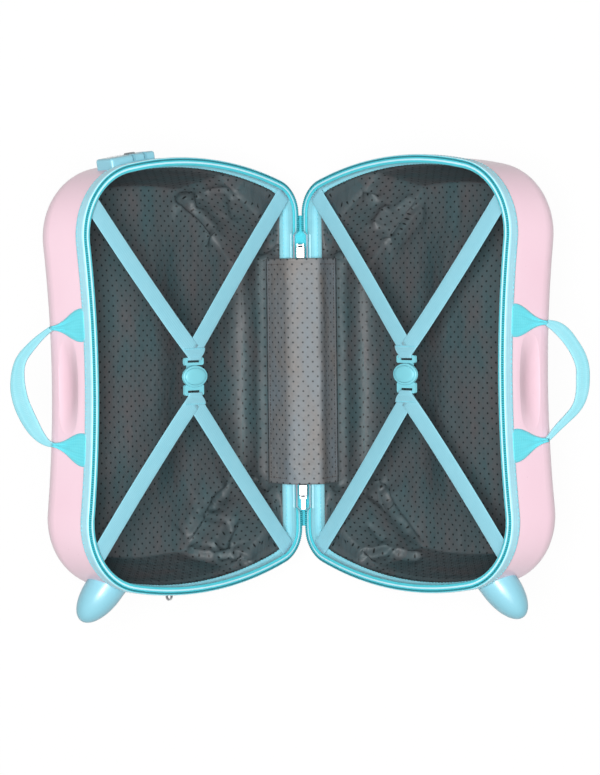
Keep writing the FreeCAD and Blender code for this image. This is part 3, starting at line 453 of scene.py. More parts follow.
# Folds of the slack cloth: a line on the cloth, the height of its crest and the reach of its soft side,
# then the drop on the other side and how far that lies from the crest. A crest below zero is a plain
# crease. The lines were read off the photograph in pixels. Another program turned them into these
# millimetres, some of which were changed by hand.
FOLDS = {
    "left": (
        (((89, 142, 66), (88, 163, 65), (89, 172, 74), (89, 190, 102), (89, 198, 117)), 6.0, 14.0, 9.0, 6.0),
        (((64, 207, 95), (50, 208, 90), (37, 209, 84), (30, 212, 65)), -5.0, 4.0, 0.0, 4.0),
        (((71, 205, 97), (78, 197, 92), (86, 185, 85)), 4.0, 5.0, 5.0, 4.0),
        (((35, 205, 78), (43, 192, 69), (53, 175, 58)), 3.0, 9.0, 3.0, 7.0),
        (((53, 135, 16), (35, 142, 16), (20, 151, 9)), 2.0, 6.0, 2.5, 5.0),
        (((89, -165, 74), (90, -148, 67), (89, -141, 57), (88, -132, 37)), 6.0, 14.0, 11.0, 5.0),
        (((89, -165, 74), (89, -173, 86), (89, -183, 95), (89, -194, 103)), 5.0, 10.0, 5.0, 9.0),
        (((60, -201, 86), (63, -195, 80), (64, -184, 70), (67, -172, 61)), 5.0, 10.0, 8.0, 5.5),
        (((52, -171, 50), (51, -185, 63), (48, -196, 72), (43, -202, 75)), 5.0, 10.0, 8.0, 5.5),
        (((87, -200, 103), (77, -207, 103), (63, -208, 95), (58, -206, 88)), 5.0, 8.0, 5.0, 6.0),
        (((53, -211, 91), (43, -211, 84), (35, -208, 76)), -5.0, 4.0, 0.0, 4.0),
        (((40, -205, 77), (32, -209, 71), (27, -219, 57)), 3.0, 7.0, 6.0, 4.0),
        (((67, -126, 17), (55, -133, 15), (43, -142, 16)), -5.0, 3.6, 0.0, 3.6),
    ),
    "right": (
        (((90, 198, 113), (90, 174, 81), (90, 161, 66), (81, 153, 50)), 6.0, 10.0, 10.0, 5.5),
        (((67, 192, 82), (65, 181, 70), (65, 172, 61), (67, 163, 53)), -7.0, 5.0, 0.0, 5.0),
        (((84, 202, 101), (78, 194, 90), (75, 186, 79)), -3.0, 5.0, 0.0, 5.0),
        (((50, 201, 83), (35, 205, 78), (32, 207, 74)), 3.0, 4.5, 7.0, 3.4),
        (((35, 202, 76), (43, 199, 76), (54, 196, 79)), -4.0, 3.2, 0.0, 3.2),
        (((45, 139, 16), (53, 133, 14), (60, 130, 18)), -4.0, 3.4, 0.0, 3.4),
        (((88, -201, 109), (89, -177, 88), (89, -165, 73), (90, -151, 61), (90, -134, 51)),
         6.0, 14.0, 10.0, 6.5),
        (((58, -204, 87), (48, -204, 80), (35, -206, 75), (30, -210, 58)), 4.0, 9.0, 9.0, 4.5),
        (((76, -210, 120), (68, -212, 109), (64, -209, 96), (55, -206, 87)), 5.0, 9.0, 5.0, 5.0),
        (((50, -175, 52), (52, -183, 62), (53, -192, 71), (55, -199, 80)), -4.0, 5.0, 0.0, 5.0),
        (((90, -134, 50), (89, -134, 38), (77, -139, 34), (63, -148, 34)), 4.0, 8.0, 8.0, 7.0),
        (((37, -142, 14), (45, -137, 12), (53, -132, 12)), -4.0, 3.4, 0.0, 3.4),
        (((90, 201, 165), (90, 181, 164), (84, 147, 166)), -1.6, 2.4, 0.0, 2.4),
        (((90, -179, 165), (90, -193, 166), (90, -205, 166)), -1.6, 2.4, 0.0, 2.4),
    ),
}
FOLD_FADE = 0.22
FOLD_STEPS = 4
CREST_ROUND = 0.2
FLOOR_LIMIT = 94.0
HINGE_WALL_LIMIT = 5.8
# At the rear and front ends the cloth runs straight from the rim to the floor and leans in by so much.
REAR_DRAFT = 19.0
FRONT_DRAFT = 26.0
DRAFT_START = 24.0
DRAFT_BLEND = 2.4
FACET_BLEND = 3.0
# Shares of a direction between which a place comes to count as end wall, hinge wall or floor.
END_WALL = (0.8, 0.97)
HINGE_WALL = (0.4, 0.9)
OFF_WALL = (0.2, 0.95)
ON_FLOOR = (0.7, 1.0)


def cloth_normals(points, inward, columns):
    """Normals of the rings of points, on the side of inward."""
    grid = points.reshape(-1, columns, 3)
    down = np.gradient(grid, axis=0)
    across = np.roll(grid, -1, axis=1) - np.roll(grid, 1, axis=1)
    normal = np.cross(across, down).reshape(-1, 3)
    normal = normal * np.sign((normal * inward).sum(axis=1))[:, None]
    return normal / (np.linalg.norm(normal, axis=1)[:, None] + 1e-9)


def fold_cloth(points, normal, side):
    """Lays the folds into the cloth, along its own normals."""
    lift = np.zeros(len(points))
    for line, crest, soft, drop, sharp in FOLDS[side]:
        knots = spline(line, FOLD_STEPS)
        nearest = np.full(len(points), 1e9)
        signed = np.zeros(len(points))
        share = np.zeros(len(points))
        for i, (a, b) in enumerate(zip(knots[:-1], knots[1:])):
            t = np.clip(((points - a) @ (b - a)) / ((b - a) @ (b - a)), 0.0, 1.0)
            off = points - (a + t[:, None] * (b - a))
            gap = np.linalg.norm(off, axis=1)
            closer = gap < nearest
            turn = np.sign((off * np.cross(normal, b - a)).sum(axis=1))
            nearest[closer] = gap[closer]
            signed[closer] = (gap * turn)[closer]
            share[closer] = (i + t[closer]) / (len(knots) - 1)
        tip = smooth(0.0, FOLD_FADE, share) * (1 - smooth(1 - FOLD_FADE, 1.0, share))
        ahead = np.maximum(signed, 0.0) / sharp
        reach = np.abs(signed) / np.where(signed > 0, sharp, soft)
        ridge = np.exp(CREST_ROUND - np.sqrt(reach ** 2 + CREST_ROUND ** 2))
        lift += tip * (crest * ridge - drop * ahead * np.exp(1.0 - ahead))
    moved = points + normal * lift[:, None]
    moved[:, 0] = np.minimum(moved[:, 0], FLOOR_LIMIT)
    moved[:, 2] = np.maximum(moved[:, 2], HINGE_WALL_LIMIT)
    return moved


def facet_normal(facet):
    """Normal of the plane through a facet's three places, out of the tray's corner."""
    a, b, c = (np.array(k) for k in facet)
    n = np.cross(b - a, c - a)
    return -n * np.sign(n[0]) / np.linalg.norm(n)


def push(behind, blend):
    """Softened distance by which a place behind a plane has to come forward."""
    return 0.5 * (behind + np.sqrt(behind ** 2 + blend ** 2))


def end_push(p, outline, wall):
    """Brings points p forward to the cloth that leans in at the rear and front ends."""
    ends = smooth(*END_WALL, np.abs(wall[:, 0]))
    draft = np.where(p[:, 1] > 0, REAR_DRAFT, FRONT_DRAFT) * ends
    lean = np.arctan2(draft, LINING_FLOOR - DRAFT_START)
    inset = ((outline - p[:, 1:]) * wall).sum(axis=1)
    behind = (p[:, 0] - DRAFT_START) * np.sin(lean) - (inset - LINING_INSET) * np.cos(lean)
    n = np.column_stack([-np.sin(lean), -wall * np.cos(lean)[:, None]])
    return n * (ends * push(behind, DRAFT_BLEND))[:, None]


# Slack of the cloth in millimetres: soft puffs and ridges all over, a roll along the hinge wall and a swell
# of the floor. A pair gives the places between which something sets in or fades out.
PUFFS_PER_METRE = 13.0
PUFF_RISE = 1.8
RIDGES_PER_METRE = (16.0, 11.0, 16.0)
RIDGE_RISE = 0.35
CORNER_RIDGE_RISE = 0.6
HINGE_RIDGE_RISE = 0.2
CORNER_ALONG = 190.0
CORNER_REACH = 70.0
CORNER_TOP = (110.0, 190.0)
ROLL_RISE = 5.0
ROLL_DEPTH = 58.0
ROLL_REACH = 20.0
SWELL_RISE = 14.0
SWELL_START = (102.0, 158.0)
SWELL_END = (180.0, 285.0)
SWELL_SIDES = (90.0, 190.0)
UNDER_PANEL = (46.0, 60.0)
UNDER_PANEL_RISE = 0.4
PANEL_ENDS = (CLOTH_HALF - 2, CLOTH_HALF + 12)
HELD_AT_RIM = (MOUTH + 7, MOUTH + 16)
SEEDS = {"left": 3.0, "right": 17.0}


def slack_cloth(p, normal, outline, wall, seed):
    """Places of the slack cloth for points p of the tray with inward normals."""
    q = p / 1000.0
    puffs = [noise.noise(Vector((x * PUFFS_PER_METRE + seed, y * PUFFS_PER_METRE, z * PUFFS_PER_METRE)))
             for x, y, z in q]
    fx, fy, fz = RIDGES_PER_METRE
    ridges = [noise.ridged_multi_fractal(Vector((x * fx + seed, y * fy, z * fz)), 1.0, 2.1, 2, 1.0, 2.0)
              for x, y, z in q]
    depth, along, height = p[:, 0], np.abs(p[:, 1]), p[:, 2]
    hinge_side = smooth(*HINGE_WALL, -wall[:, 1]) * (1 - smooth(*OFF_WALL, -normal[:, 0]))
    corner = np.exp(-((along - CORNER_ALONG) / CORNER_REACH) ** 2) * (1 - smooth(*CORNER_TOP, height))
    ridge_rise = RIDGE_RISE + CORNER_RIDGE_RISE * corner + HINGE_RIDGE_RISE * hinge_side
    rise = 1.0 + np.array(puffs) * PUFF_RISE + np.array(ridges) * ridge_rise
    rise = rise + hinge_side * ROLL_RISE * np.exp(-((depth - ROLL_DEPTH) / ROLL_REACH) ** 2)
    swell = smooth(*SWELL_START, height) * (1 - smooth(*SWELL_END, height))
    swell = swell * (1 - smooth(*SWELL_SIDES, along)) * smooth(*ON_FLOOR, -normal[:, 0])
    rise = rise + SWELL_RISE * swell
    out = p + normal * rise[:, None]
    for facet in FACETS:
        n = facet_normal(facet)
        behind = -((out - np.array(facet[0])) @ n)
        same_end = np.sign(p[:, 1]) == np.sign(facet[0][1])
        out = out + n * (same_end * push(behind, FACET_BLEND))[:, None]
    out = out + end_push(out, outline, wall)
    under = hinge_side * (1 - smooth(*UNDER_PANEL, depth)) * (1 - smooth(*PANEL_ENDS, along))
    moved = (out - p) * (1 - under)[:, None] + normal * (UNDER_PANEL_RISE * under)[:, None]
    return p + moved * smooth(*HELD_AT_RIM, depth)[:, None]


def print_places(points, normal, faces):
    """UV in millimetres that keeps the dots round: a face is laid on the wall, floor or facet it follows."""
    planes = [(-1, 0, 0), (0, 0, 1), (0, 0, -1), (0, 1, 0), (0, -1, 0)] + [facet_normal(f) for f in FACETS]
    planes = np.array(planes, float)
    first = np.array([(0, 1, 0), (0, 1, 0), (0, 1, 0), (0, 0, 1), (0, 0, 1), (0, 1, 0), (0, 1, 0)], float)
    first = first - planes * (first * planes).sum(axis=1)[:, None]
    first = first / np.linalg.norm(first, axis=1)[:, None]
    second = np.cross(planes, first)
    facing = normal @ planes.T
    uv = []
    for face in faces:
        k = int(np.argmax(facing[face[0]] + facing[face[2]]))
        uv.append([(points[i] @ first[k], points[i] @ second[k]) for i in face])
    return uv


# The cloth's mesh is fine where it is folded, and keeps every third point elsewhere.
FINE_STEP = 1.8
FOLDED_BELOW = 150.0
FOLDED_FROM = 118.0
PLAIN_EVERY = 3
FINE_SHARE = 0.42


def drape_lining(side):
    """Rings of the draped cloth without its folds: points, the tray's inward directions, points to a ring."""
    p0, n0 = rim(FINE_STEP)
    folded = (p0[:, 1] < FOLDED_BELOW) & (np.abs(p0[:, 0]) > FOLDED_FROM)
    kept = folded | (np.arange(len(p0)) % PLAIN_EVERY == 0)
    p0, n0 = p0[kept], n0[kept]
    count = len(p0)
    rows, normals = [], []
    for inset, depth, ni, nd in lining_profile():
        flat = p0 - n0 * inset
        rows.append(np.column_stack([np.full(count, depth), flat]))
        normals.append(np.column_stack([np.full(count, nd), -n0 * ni]))
    edge = rows[-1][:, 1:]
    middle = np.array(FLOOR_MIDDLE)
    fine = np.linspace(0, FINE_SHARE, FINE_RINGS)[1:]
    for t in np.concatenate([fine, np.linspace(FINE_SHARE, 1, FLOOR_RINGS)[1:-1]]):
        flat = edge + (middle - edge) * t
        rows.append(np.column_stack([np.full(count, LINING_FLOOR), flat]))
        normals.append(np.column_stack([np.full(count, -1.0), np.zeros((count, 2))]))
    flat_points = np.array(rows).reshape(-1, 3)
    inward = np.array(normals).reshape(-1, 3)
    wall = np.tile(n0, (len(rows), 1))
    outline = np.tile(p0, (len(rows), 1))
    return slack_cloth(flat_points, inward, outline, wall, SEEDS[side]), inward, count


def make_lining(side):
    draped, inward, count = drape_lining(side)
    ring_count = len(draped) // count
    normal = cloth_normals(draped, inward, count)
    moved = fold_cloth(draped, normal, side)
    moved[count:, 0] = np.maximum(moved[count:, 0], LINING_START)
    points = np.vstack([moved, moved[-count:].mean(axis=0)])
    draped = np.vstack([draped, draped[-count:].mean(axis=0)])
    normal = np.vstack([normal, [-1.0, 0.0, 0.0]])
    faces = grid_faces(ring_count, count, closed=True)
    tip = len(points) - 1
    start = (ring_count - 1) * count
    faces += [(start + c, start + (c + 1) % count, tip) for c in range(count)]
    uv = print_places(draped, normal, faces)
    obj = make_piece(f"{side}_lining_cloth", to_row(points, side), faces, LINING, uv, flip=side == "right")
    thick = obj.modifiers.new("thickness", "SOLIDIFY")
    thick.thickness = LINING_THICK
    thick.offset = -1.0
    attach(obj, f"{side}_half")
    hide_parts(f"{side}_lining")


# Binding: woven tape folded over the rim, with the zip tape along its front.
BINDING_SECTION = (
    (1.75, 15.6), (0.35, 15.6), (0.0, 15.0), (-0.15, 12.0), (-0.2, 9.0), (-0.25, 6.0), (-0.35, 4.6),
    (-0.1, 3.0), (0.7, 2.1), (1.4, 2.2), (3.2, 2.15), (4.6, 1.7), (6.4, 1.5), (8.0, 1.7), (9.0, 2.2),
    (9.2, 2.8), (8.8, 3.3), (7.6, 3.6), (6.7, 4.6), (6.6, 8.0), (6.75, 9.6), (6.6, 11.0), (6.8, 13.2),
    (7.2, 15.0), (8.6, 17.4), (9.7, 19.4), (9.6, 21.4), (9.75, 23.4), (9.6, 25.2), (9.2, 25.5),
    (9.05, 24.8), (9.05, 19.6), (7.0, 17.6), (6.1, 19.0), (4.75, 19.0), (4.75, 4.1), (1.75, 4.1),
)
FLAP_START = 17.4
SLIDER_CLEAR = 9.3
RELIEF_END = 161.0
# Stretches of the binding's section whose pale colour is a painted highlight of the tape's fold.
PAINTED_HIGHLIGHT_PART = (7, 11)
ZIP_PART = range(8, 17)
INNER_PART = range(17, 33)
BINDING_STEP = 4.0
SEAM_STEP = 3.0
SEAM_GAP = 4
PANEL_GAP = 0.3
FLAP_ON_HINGE = (0.7, 0.98)
FLAP_SHARE = 0.2
RELIEF_FADE = 1.5
RELIEF_SHARE = 0.1


def open_rim(step, start):
    """The rim without the stretch along the hinge that lies within start of the middle."""
    p0, n0 = rim(step)
    keep = ~((np.abs(p0[:, 0]) < start) & (n0[:, 1] < -0.99))
    first = int(np.argmax(keep))
    order = [i % len(p0) for i in range(first, first + len(p0)) if keep[i % len(p0)]]
    p, n = p0[order], n0[order]
    head, tail = p[0].copy(), p[-1].copy()
    head[0], tail[0] = start, -start
    p = np.vstack([[head], p, [tail]])
    n = np.vstack([[n[0]], n, [n[-1]]])
    return p, n


def clear_slider(depth, along, height):
    """Draws the binding back from the hinge line where the zip sliders and their pulls lie."""
    near = 1 - smooth(RELIEF_END, RELIEF_END + RELIEF_FADE, abs(along))
    reach = math.hypot(depth, height)
    wanted = max(reach, SLIDER_CLEAR + RELIEF_SHARE * reach)
    scale = 1 + near * (wanted / reach - 1)
    return depth * scale, along, height * scale


def binding_slot(k):
    """Which tape the stretch k of the section is: outer binding, zip tape, painted highlight strip or inner
    tape.
    """
    return 2 if k in PAINTED_HIGHLIGHT_PART else 1 if k in ZIP_PART else 3 if k in INNER_PART else 0


def make_binding(side):
    p, n = open_rim(BINDING_STEP, CLOTH_HALF + PANEL_GAP)
    section = np.array(BINDING_SECTION)
    m = len(section)
    points = []
    for q, normal in zip(p, n):
        flap = FLAP_SHARE + (1 - FLAP_SHARE) * smooth(*FLAP_ON_HINGE, -normal[1])
        for inset, depth in section:
            along, height = q - normal * inset
            points.append(clear_slider(min(depth, FLAP_START + flap * (depth - FLAP_START)), along, height))
    around = running_length(np.vstack([section, section[:1]]))
    faces, uv = tube(len(p), around, running_length(p))
    slots = [binding_slot(k) for k in range(m)] * (len(p) - 1)
    for i, cap in ((0, list(range(m))), (len(p) - 1, list(range(m))[::-1])):
        faces.append(tuple(i * m + k for k in cap))
        uv.append([(0.0, 0.0)] * m)
        slots.append(0)
    obj = make_piece(f"{side}_binding_tape", to_row(points, side), faces, PALE_TAPE, uv, flip=side == "left")
    for tape in (ZIP_TAPE, PAINTED_HIGHLIGHT_TAPE, INNER_TAPE):
        obj.data.materials.append(tape)
    obj.data.polygons.foreach_set("material_index", slots)
    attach(obj, f"{side}_half")
    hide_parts(f"{side}_binding")


# Things that repeat along a line: zip teeth and stitches.
def repeat_tree():
    tree = bpy.data.node_groups.new("repeat_along_line", "GeometryNodeTree")
    face = tree.interface
    face.new_socket("Geometry", in_out="INPUT", socket_type="NodeSocketGeometry")
    kinds = {"Spacing": "Float", "Size": "Vector", "Facing": "Vector", "Finish": "Material"}
    for label, kind in kinds.items():
        face.new_socket(label, in_out="INPUT", socket_type=f"NodeSocket{kind}")
    face.new_socket("Geometry", in_out="OUTPUT", socket_type="NodeSocketGeometry")
    given = add(tree, "NodeGroupInput").outputs
    curve = add(tree, "GeometryNodeMeshToCurve", {"Mesh": given["Geometry"]})
    evenly = {"Curve": curve.outputs["Curve"], "Length": given["Spacing"]}
    spaced = add(tree, "GeometryNodeResampleCurve", evenly, mode="LENGTH")
    block = add(tree, "GeometryNodeMeshCube", {"Size": given["Size"]})
    softened = {"Mesh": block.outputs["Mesh"], "Level": 1, "Edge Crease": 0.45}
    rounded = add(tree, "GeometryNodeSubdivisionSurface", softened)
    along = add(tree, "GeometryNodeInputTangent").outputs["Tangent"]
    upright = add(tree, "FunctionNodeAlignRotationToVector", {"Vector": given["Facing"]}, axis="Z")
    turned = add(tree, "FunctionNodeAlignRotationToVector", {"Rotation": upright.outputs[0], "Vector": along},
                 axis="X", pivot_axis="Z")
    copies = {"Points": spaced.outputs["Curve"], "Instance": rounded.outputs["Mesh"],
              "Rotation": turned.outputs[0]}
    placed = add(tree, "GeometryNodeInstanceOnPoints", copies)
    real = add(tree, "GeometryNodeRealizeInstances", {"Geometry": placed.outputs["Instances"]})
    finish = {"Geometry": real.outputs["Geometry"], "Material": given["Finish"]}
    finished = add(tree, "GeometryNodeSetMaterial", finish)
    add(tree, "NodeGroupOutput", {"Geometry": finished.outputs["Geometry"]})
    return tree


REPEAT = repeat_tree()


def repeat_along(name, lines, spacing, size, facing, material):
    """One mesh of rounded blocks, set along lines of row points in metres."""
    points, edges = [], []
    for line in lines:
        start = len(points)
        points += [tuple(map(float, q)) for q in line]
        edges += [(start + i, start + i + 1) for i in range(len(line) - 1)]
    mesh = bpy.data.meshes.new(name)
    mesh.from_pydata(points, edges, [])
    obj = bpy.data.objects.new(name, mesh)
    bpy.context.scene.collection.objects.link(obj)
    modifier = obj.modifiers.new("repeat", "NODES")
    modifier.node_group = REPEAT
    metres = [s / 1000 for s in size]
    values = {"Spacing": spacing / 1000, "Size": metres, "Facing": list(facing), "Finish": material}
    for item in REPEAT.interface.items_tree:
        if item.in_out == "INPUT" and item.name in values:
            modifier[item.identifier] = values[item.name]
    plain_mesh(obj)
    obj.data.polygons.foreach_set("use_smooth", [True] * len(obj.data.polygons))
    return obj


def outward_axis(side):
    """Direction of the depth axis of a half in the open case."""
    sign = 1.0 if side == "right" else -1.0
    return Vector((sign * math.cos(LEAN), 0.0, -math.sin(LEAN)))


TEETH_START = 163.0
TEETH_DEPTH = 1.45
TEETH_INSET = 2.3
TEETH_PITCH = 2.4
TOOTH = (1.6, 1.9, 1.7)


def make_zip_teeth(side):
    p, n = open_rim(SEAM_STEP, TEETH_START)
    line = to_row(np.column_stack([np.full(len(p), TEETH_DEPTH), p - n * TEETH_INSET]), side)
    obj = repeat_along(f"{side}_zip_teeth_row", [line], TEETH_PITCH, TOOTH, outward_axis(side), TEETH)
    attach(obj, f"{side}_half")
    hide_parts(f"{side}_zip_teeth")


# Seams of the binding: inset and depth of the outer and the inner one.
SEAM_LINES = ((-0.15, 13.4), (9.7, FLAP_START + 1.2))
STITCH_PITCH = 4.6
STITCH = (3.0, 0.7, 0.7)


def make_binding_stitches(side):
    p, n = open_rim(SEAM_STEP, CLOTH_HALF + SEAM_GAP)
    lines = []
    for inset, depth in SEAM_LINES:
        line = np.column_stack([np.full(len(p), depth), p - n * inset])
        lines.append(to_row(line, side))
    obj = repeat_along(f"{side}_binding_stitches", lines, STITCH_PITCH, STITCH, outward_axis(side), THREAD)
    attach(obj, f"{side}_half")


# Cross straps: two woven elastic bands to each pair, sewn into one end that passes round the clip's bar.
def lip_reach(start, direction):
    """How far a line in the mouth's plane runs before it meets the binding's lip."""
    p0, n0 = rim(2.0)
    loop = p0 - n0 * (LIP_INSET - 0.4)
    nxt = np.roll(loop, -1, axis=0)
    e = nxt - loop
    w = loop - start
    cross = direction[0] * e[:, 1] - direction[1] * e[:, 0]
    t = (w[:, 0] * e[:, 1] - w[:, 1] * e[:, 0]) / cross
    s = (w[:, 0] * direction[1] - w[:, 1] * direction[0]) / cross
    hits = t[(s >= 0) & (s <= 1) & (t > 0)]
    return hits.min()


# Section of a band: places across and through it, in shares of its half width and half thickness.
BAND_SHAPE = (
    (-1.0, 0.0), (-0.97, 0.8), (-0.9, 1.0), (-0.45, 1.06), (0.0, 1.08), (0.45, 1.06), (0.9, 1.0),
    (0.97, 0.8), (1.0, 0.0), (0.97, -0.8), (0.9, -1.0), (0.45, -1.0), (0.0, -1.0), (-0.45, -1.0),
    (-0.9, -1.0), (-0.97, -0.8),
)


def band(centre_line, across, half_width, depth_line, thick):
    """Closed flat band: rows of points along it, with rounded edges. Returns points, faces and uv."""
    m = len(BAND_SHAPE)
    points = []
    for c, side_way, half, depth, layer in zip(centre_line, across, half_width, depth_line, thick):
        for x, y in BAND_SHAPE:
            flat = c + side_way * (x * half)
            points.append((depth - y * layer / 2, flat[0], flat[1]))
    runs = running_length(np.array(centre_line))

    def place(i):
        half = half_width[i // m]
        return BAND_SHAPE[i % m][0] * half + half, runs[i // m]

    faces = grid_faces(len(centre_line), m, closed=True)
    for i, order in ((0, range(m - 1, -1, -1)), (len(centre_line) - 1, range(m))):
        faces.append(tuple(i * m + k for k in order))
    return points, faces, [[place(i) for i in face] for face in faces]


# Places along and up at which the upper and the lower strap of a pair aim.
STRAP_ENDS = ((184.0, 295.0), (206.0, 18.0))
STRAP_STEPS = 46
KNOT_PAST_BAR = 5.4
KNOT_GAP = 2.0
LAYER_STEP = 0.75
STRAP_SAG = 2.2
SKEW_ROWS = 8
LAYER_FADE = (0.0, 0.2)
# Sewn end over the clip's bar: its start before the bar's end, length, half width, flare and lift.
SEWN_START = 3.1
SEWN_LENGTH = 13.6
SEWN_HALF = 9.6
SEWN_FLARE = 7.1
SEWN_LIFT = 2.6
SEWN_FALL = 1.5
SEWN_THICK = 1.5
SEWN_ROWS = 22
SEWN_FLARE_AT = (0.12, 0.95)
SEWN_FALL_AT = (0.5, 1.0)
# Its two ridges: height and place along it, with one reach for both.
RIDGES = ((0.55, 0.12), (0.5, 0.45))
RIDGE_REACH = 0.09
SEAMS_PAST_BAR = (7.2, 9.6)
SEAM_HALF = 13.5
SEAM_LIFT = 2.15
STRAP_STITCH_PITCH = 2.6
STRAP_STITCH = (1.9, 0.7, 0.6)


def make_strap(side, end):
    """The pair of straps towards the rear (1) or the front (-1)."""
    points, faces, uv = [], [], []

    def join(part):
        start = len(points)
        points.extend(part[0])
        faces.extend([tuple(i + start for i in f) for f in part[1]])
        uv.extend(part[2])

    knot = np.array([end * (CLIP_BAR_END + KNOT_PAST_BAR), CLIP_HEIGHT])
    half = STRAP_WIDTH / 2
    steps = STRAP_STEPS
    t = np.linspace(0, 1, steps)
    m = len(BAND_SHAPE)
    for layer, (along, height) in enumerate(STRAP_ENDS):
        far = np.array([end * along, height])
        heading = (far - knot) / np.linalg.norm(far - knot)
        across = np.array([-heading[1], heading[0]])
        reach_l = lip_reach(knot + across * -half, heading)
        reach_r = lip_reach(knot + across * half, heading)
        length = (reach_l + reach_r) / 2
        line = [knot + heading * (KNOT_GAP + x * (length - KNOT_GAP)) for x in t]
        over = LAYER_STEP if layer else -LAYER_STEP
        lift = [STRAP_DEPTH + over * (1 - smooth(*LAYER_FADE, x)) + STRAP_SAG * math.sin(math.pi * x)
                for x in t]
        part = band(line, [across] * steps, [half] * steps, lift, [STRAP_THICK] * steps)
        skew = (reach_r - reach_l) / 2
        for i in range(SKEW_ROWS):
            row = (steps - 1 - i) * m
            for k in range(m):
                d, a, h = part[0][row + k]
                off = np.dot(np.array([a, h]) - line[steps - 1 - i], across) / half
                shift = heading * off * skew * (1 - i / SKEW_ROWS)
                part[0][row + k] = (d, a + shift[0], h + shift[1])
        join(part)
    # The sewn end: one band over the clip's bar, with the two ridges of the fold.
    share = np.linspace(0, 1, SEWN_ROWS)
    wrap = [np.array([end * (CLIP_BAR_END - SEWN_START + a * SEWN_LENGTH), CLIP_HEIGHT]) for a in share]
    widths = [SEWN_HALF + SEWN_FLARE * smooth(*SEWN_FLARE_AT, a) for a in share]
    fold = [sum(rise * math.exp(-((a - at) / RIDGE_REACH) ** 2) for rise, at in RIDGES) for a in share]
    depth = [STRAP_DEPTH - SEWN_LIFT + SEWN_FALL * smooth(*SEWN_FALL_AT, a) - f
             for a, f in zip(share, fold)]
    join(band(wrap, [np.array([0.0, 1.0])] * len(share), widths, depth, [SEWN_THICK] * len(share)))
    place = "rear" if end > 0 else "front"
    obj = make_piece(f"{side}_{place}_strap_pair", to_row(points, side), faces, STRAP_WEAVE, uv)
    fix_normals(obj)
    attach(obj, f"{side}_half")
    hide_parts(f"{side}_{place}_straps")
    seams = []
    for past in SEAMS_PAST_BAR:
        along = end * (CLIP_BAR_END + past)
        heights = np.linspace(CLIP_HEIGHT - SEAM_HALF, CLIP_HEIGHT + SEAM_HALF, 8)
        seams.append(to_row([(STRAP_DEPTH - SEAM_LIFT, along, h) for h in heights], side))
    name = f"{side}_{place}_strap_stitches"
    sewn = repeat_along(name, seams, STRAP_STITCH_PITCH, STRAP_STITCH, outward_axis(side), THREAD)
    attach(sewn, f"{side}_half")


def fix_normals(obj):
    """Turns the faces of a closed mesh outwards."""
    work = bmesh.new()
    work.from_mesh(obj.data)
    bmesh.ops.recalc_face_normals(work, faces=work.faces)
    work.to_mesh(obj.data)
    work.free()


# Clip button: a low oval dome.
BUTTON_HALF_LENGTH = 9.5
BUTTON_HALF_WIDTH = 15.0
BUTTON_TURNS = 56
# Its section: share of the way from the middle to the edge, and depth.
BUTTON_SECTION = (
    (0.2, 0.9), (0.45, 1.0), (0.66, 1.2), (0.82, 1.5), (0.92, 1.85), (0.98, 2.3), (1.0, 2.8), (1.0, 5.4),
)


def make_clip_button(side):
    points = []
    for share, depth in BUTTON_SECTION:
        inset = (1 - share) * BUTTON_HALF_LENGTH
        for a in np.linspace(0, 2 * math.pi, BUTTON_TURNS, endpoint=False):
            along = (BUTTON_HALF_LENGTH - inset) * math.cos(a)
            points.append((depth, along, CLIP_HEIGHT + (BUTTON_HALF_WIDTH - inset) * math.sin(a)))
    rings = len(BUTTON_SECTION)
    faces = grid_faces(rings, BUTTON_TURNS, closed=True)
    faces += [tuple(range(r * BUTTON_TURNS, (r + 1) * BUTTON_TURNS)) for r in (0, rings - 1)]
    obj = make_piece(f"{side}_clip_dome", to_row(points, side), faces, CLIP_PLASTIC)
    fix_normals(obj)
    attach(obj, f"{side}_clip_button")
    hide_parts(f"{side}_clip_button")


# Carrying handle: webbing ends gathered to a neck, and a folded loop.
def saddle_at(along):
    """Height of the shell's saddle edge at a place along it."""
    bow, top_r = END_BOW_RADIUS, TOP_CORNER
    top_y = LENGTH / 2 - bow + math.sqrt((bow - top_r) ** 2 - (HEIGHT - top_r - END_BOW_HEIGHT) ** 2)
    dip = (top_y ** 2 + SADDLE_DIP ** 2) / (2 * SADDLE_DIP) - top_r
    radius = dip + SHELL_INSET
    return HEIGHT - SADDLE_DIP + dip - math.sqrt(radius ** 2 - along ** 2)


NECK_GAP = 0.3
AXIS_DEPTH = TAB_END + KNUCKLE + NECK_GAP
# Webbing ends: where they start under the binding, half widths, fold heights and thickness.
TAB_START = 12.5
NECK_HALF = 2.8
TAB_FLARE = 15.0
TAB_LIFT = 0.25
PLEAT_RISE = 1.3
PINCH_RISE = 3.2
TAB_THICK = 1.7
TAB_FLARE_AT = (0.12, 0.96)
PLEATS = 3
PLEAT_AT = (0.1, 0.7)
PINCH_AT = (0.55, 1.0)
PINCH_CROWN = 0.55
EDGE_FALL = 0.8
EDGE_POWER = 12
EDGE_BELOW = -0.2
TAB_GRID = (22, 25)
TAB_CELL = (1.5, 1.8)


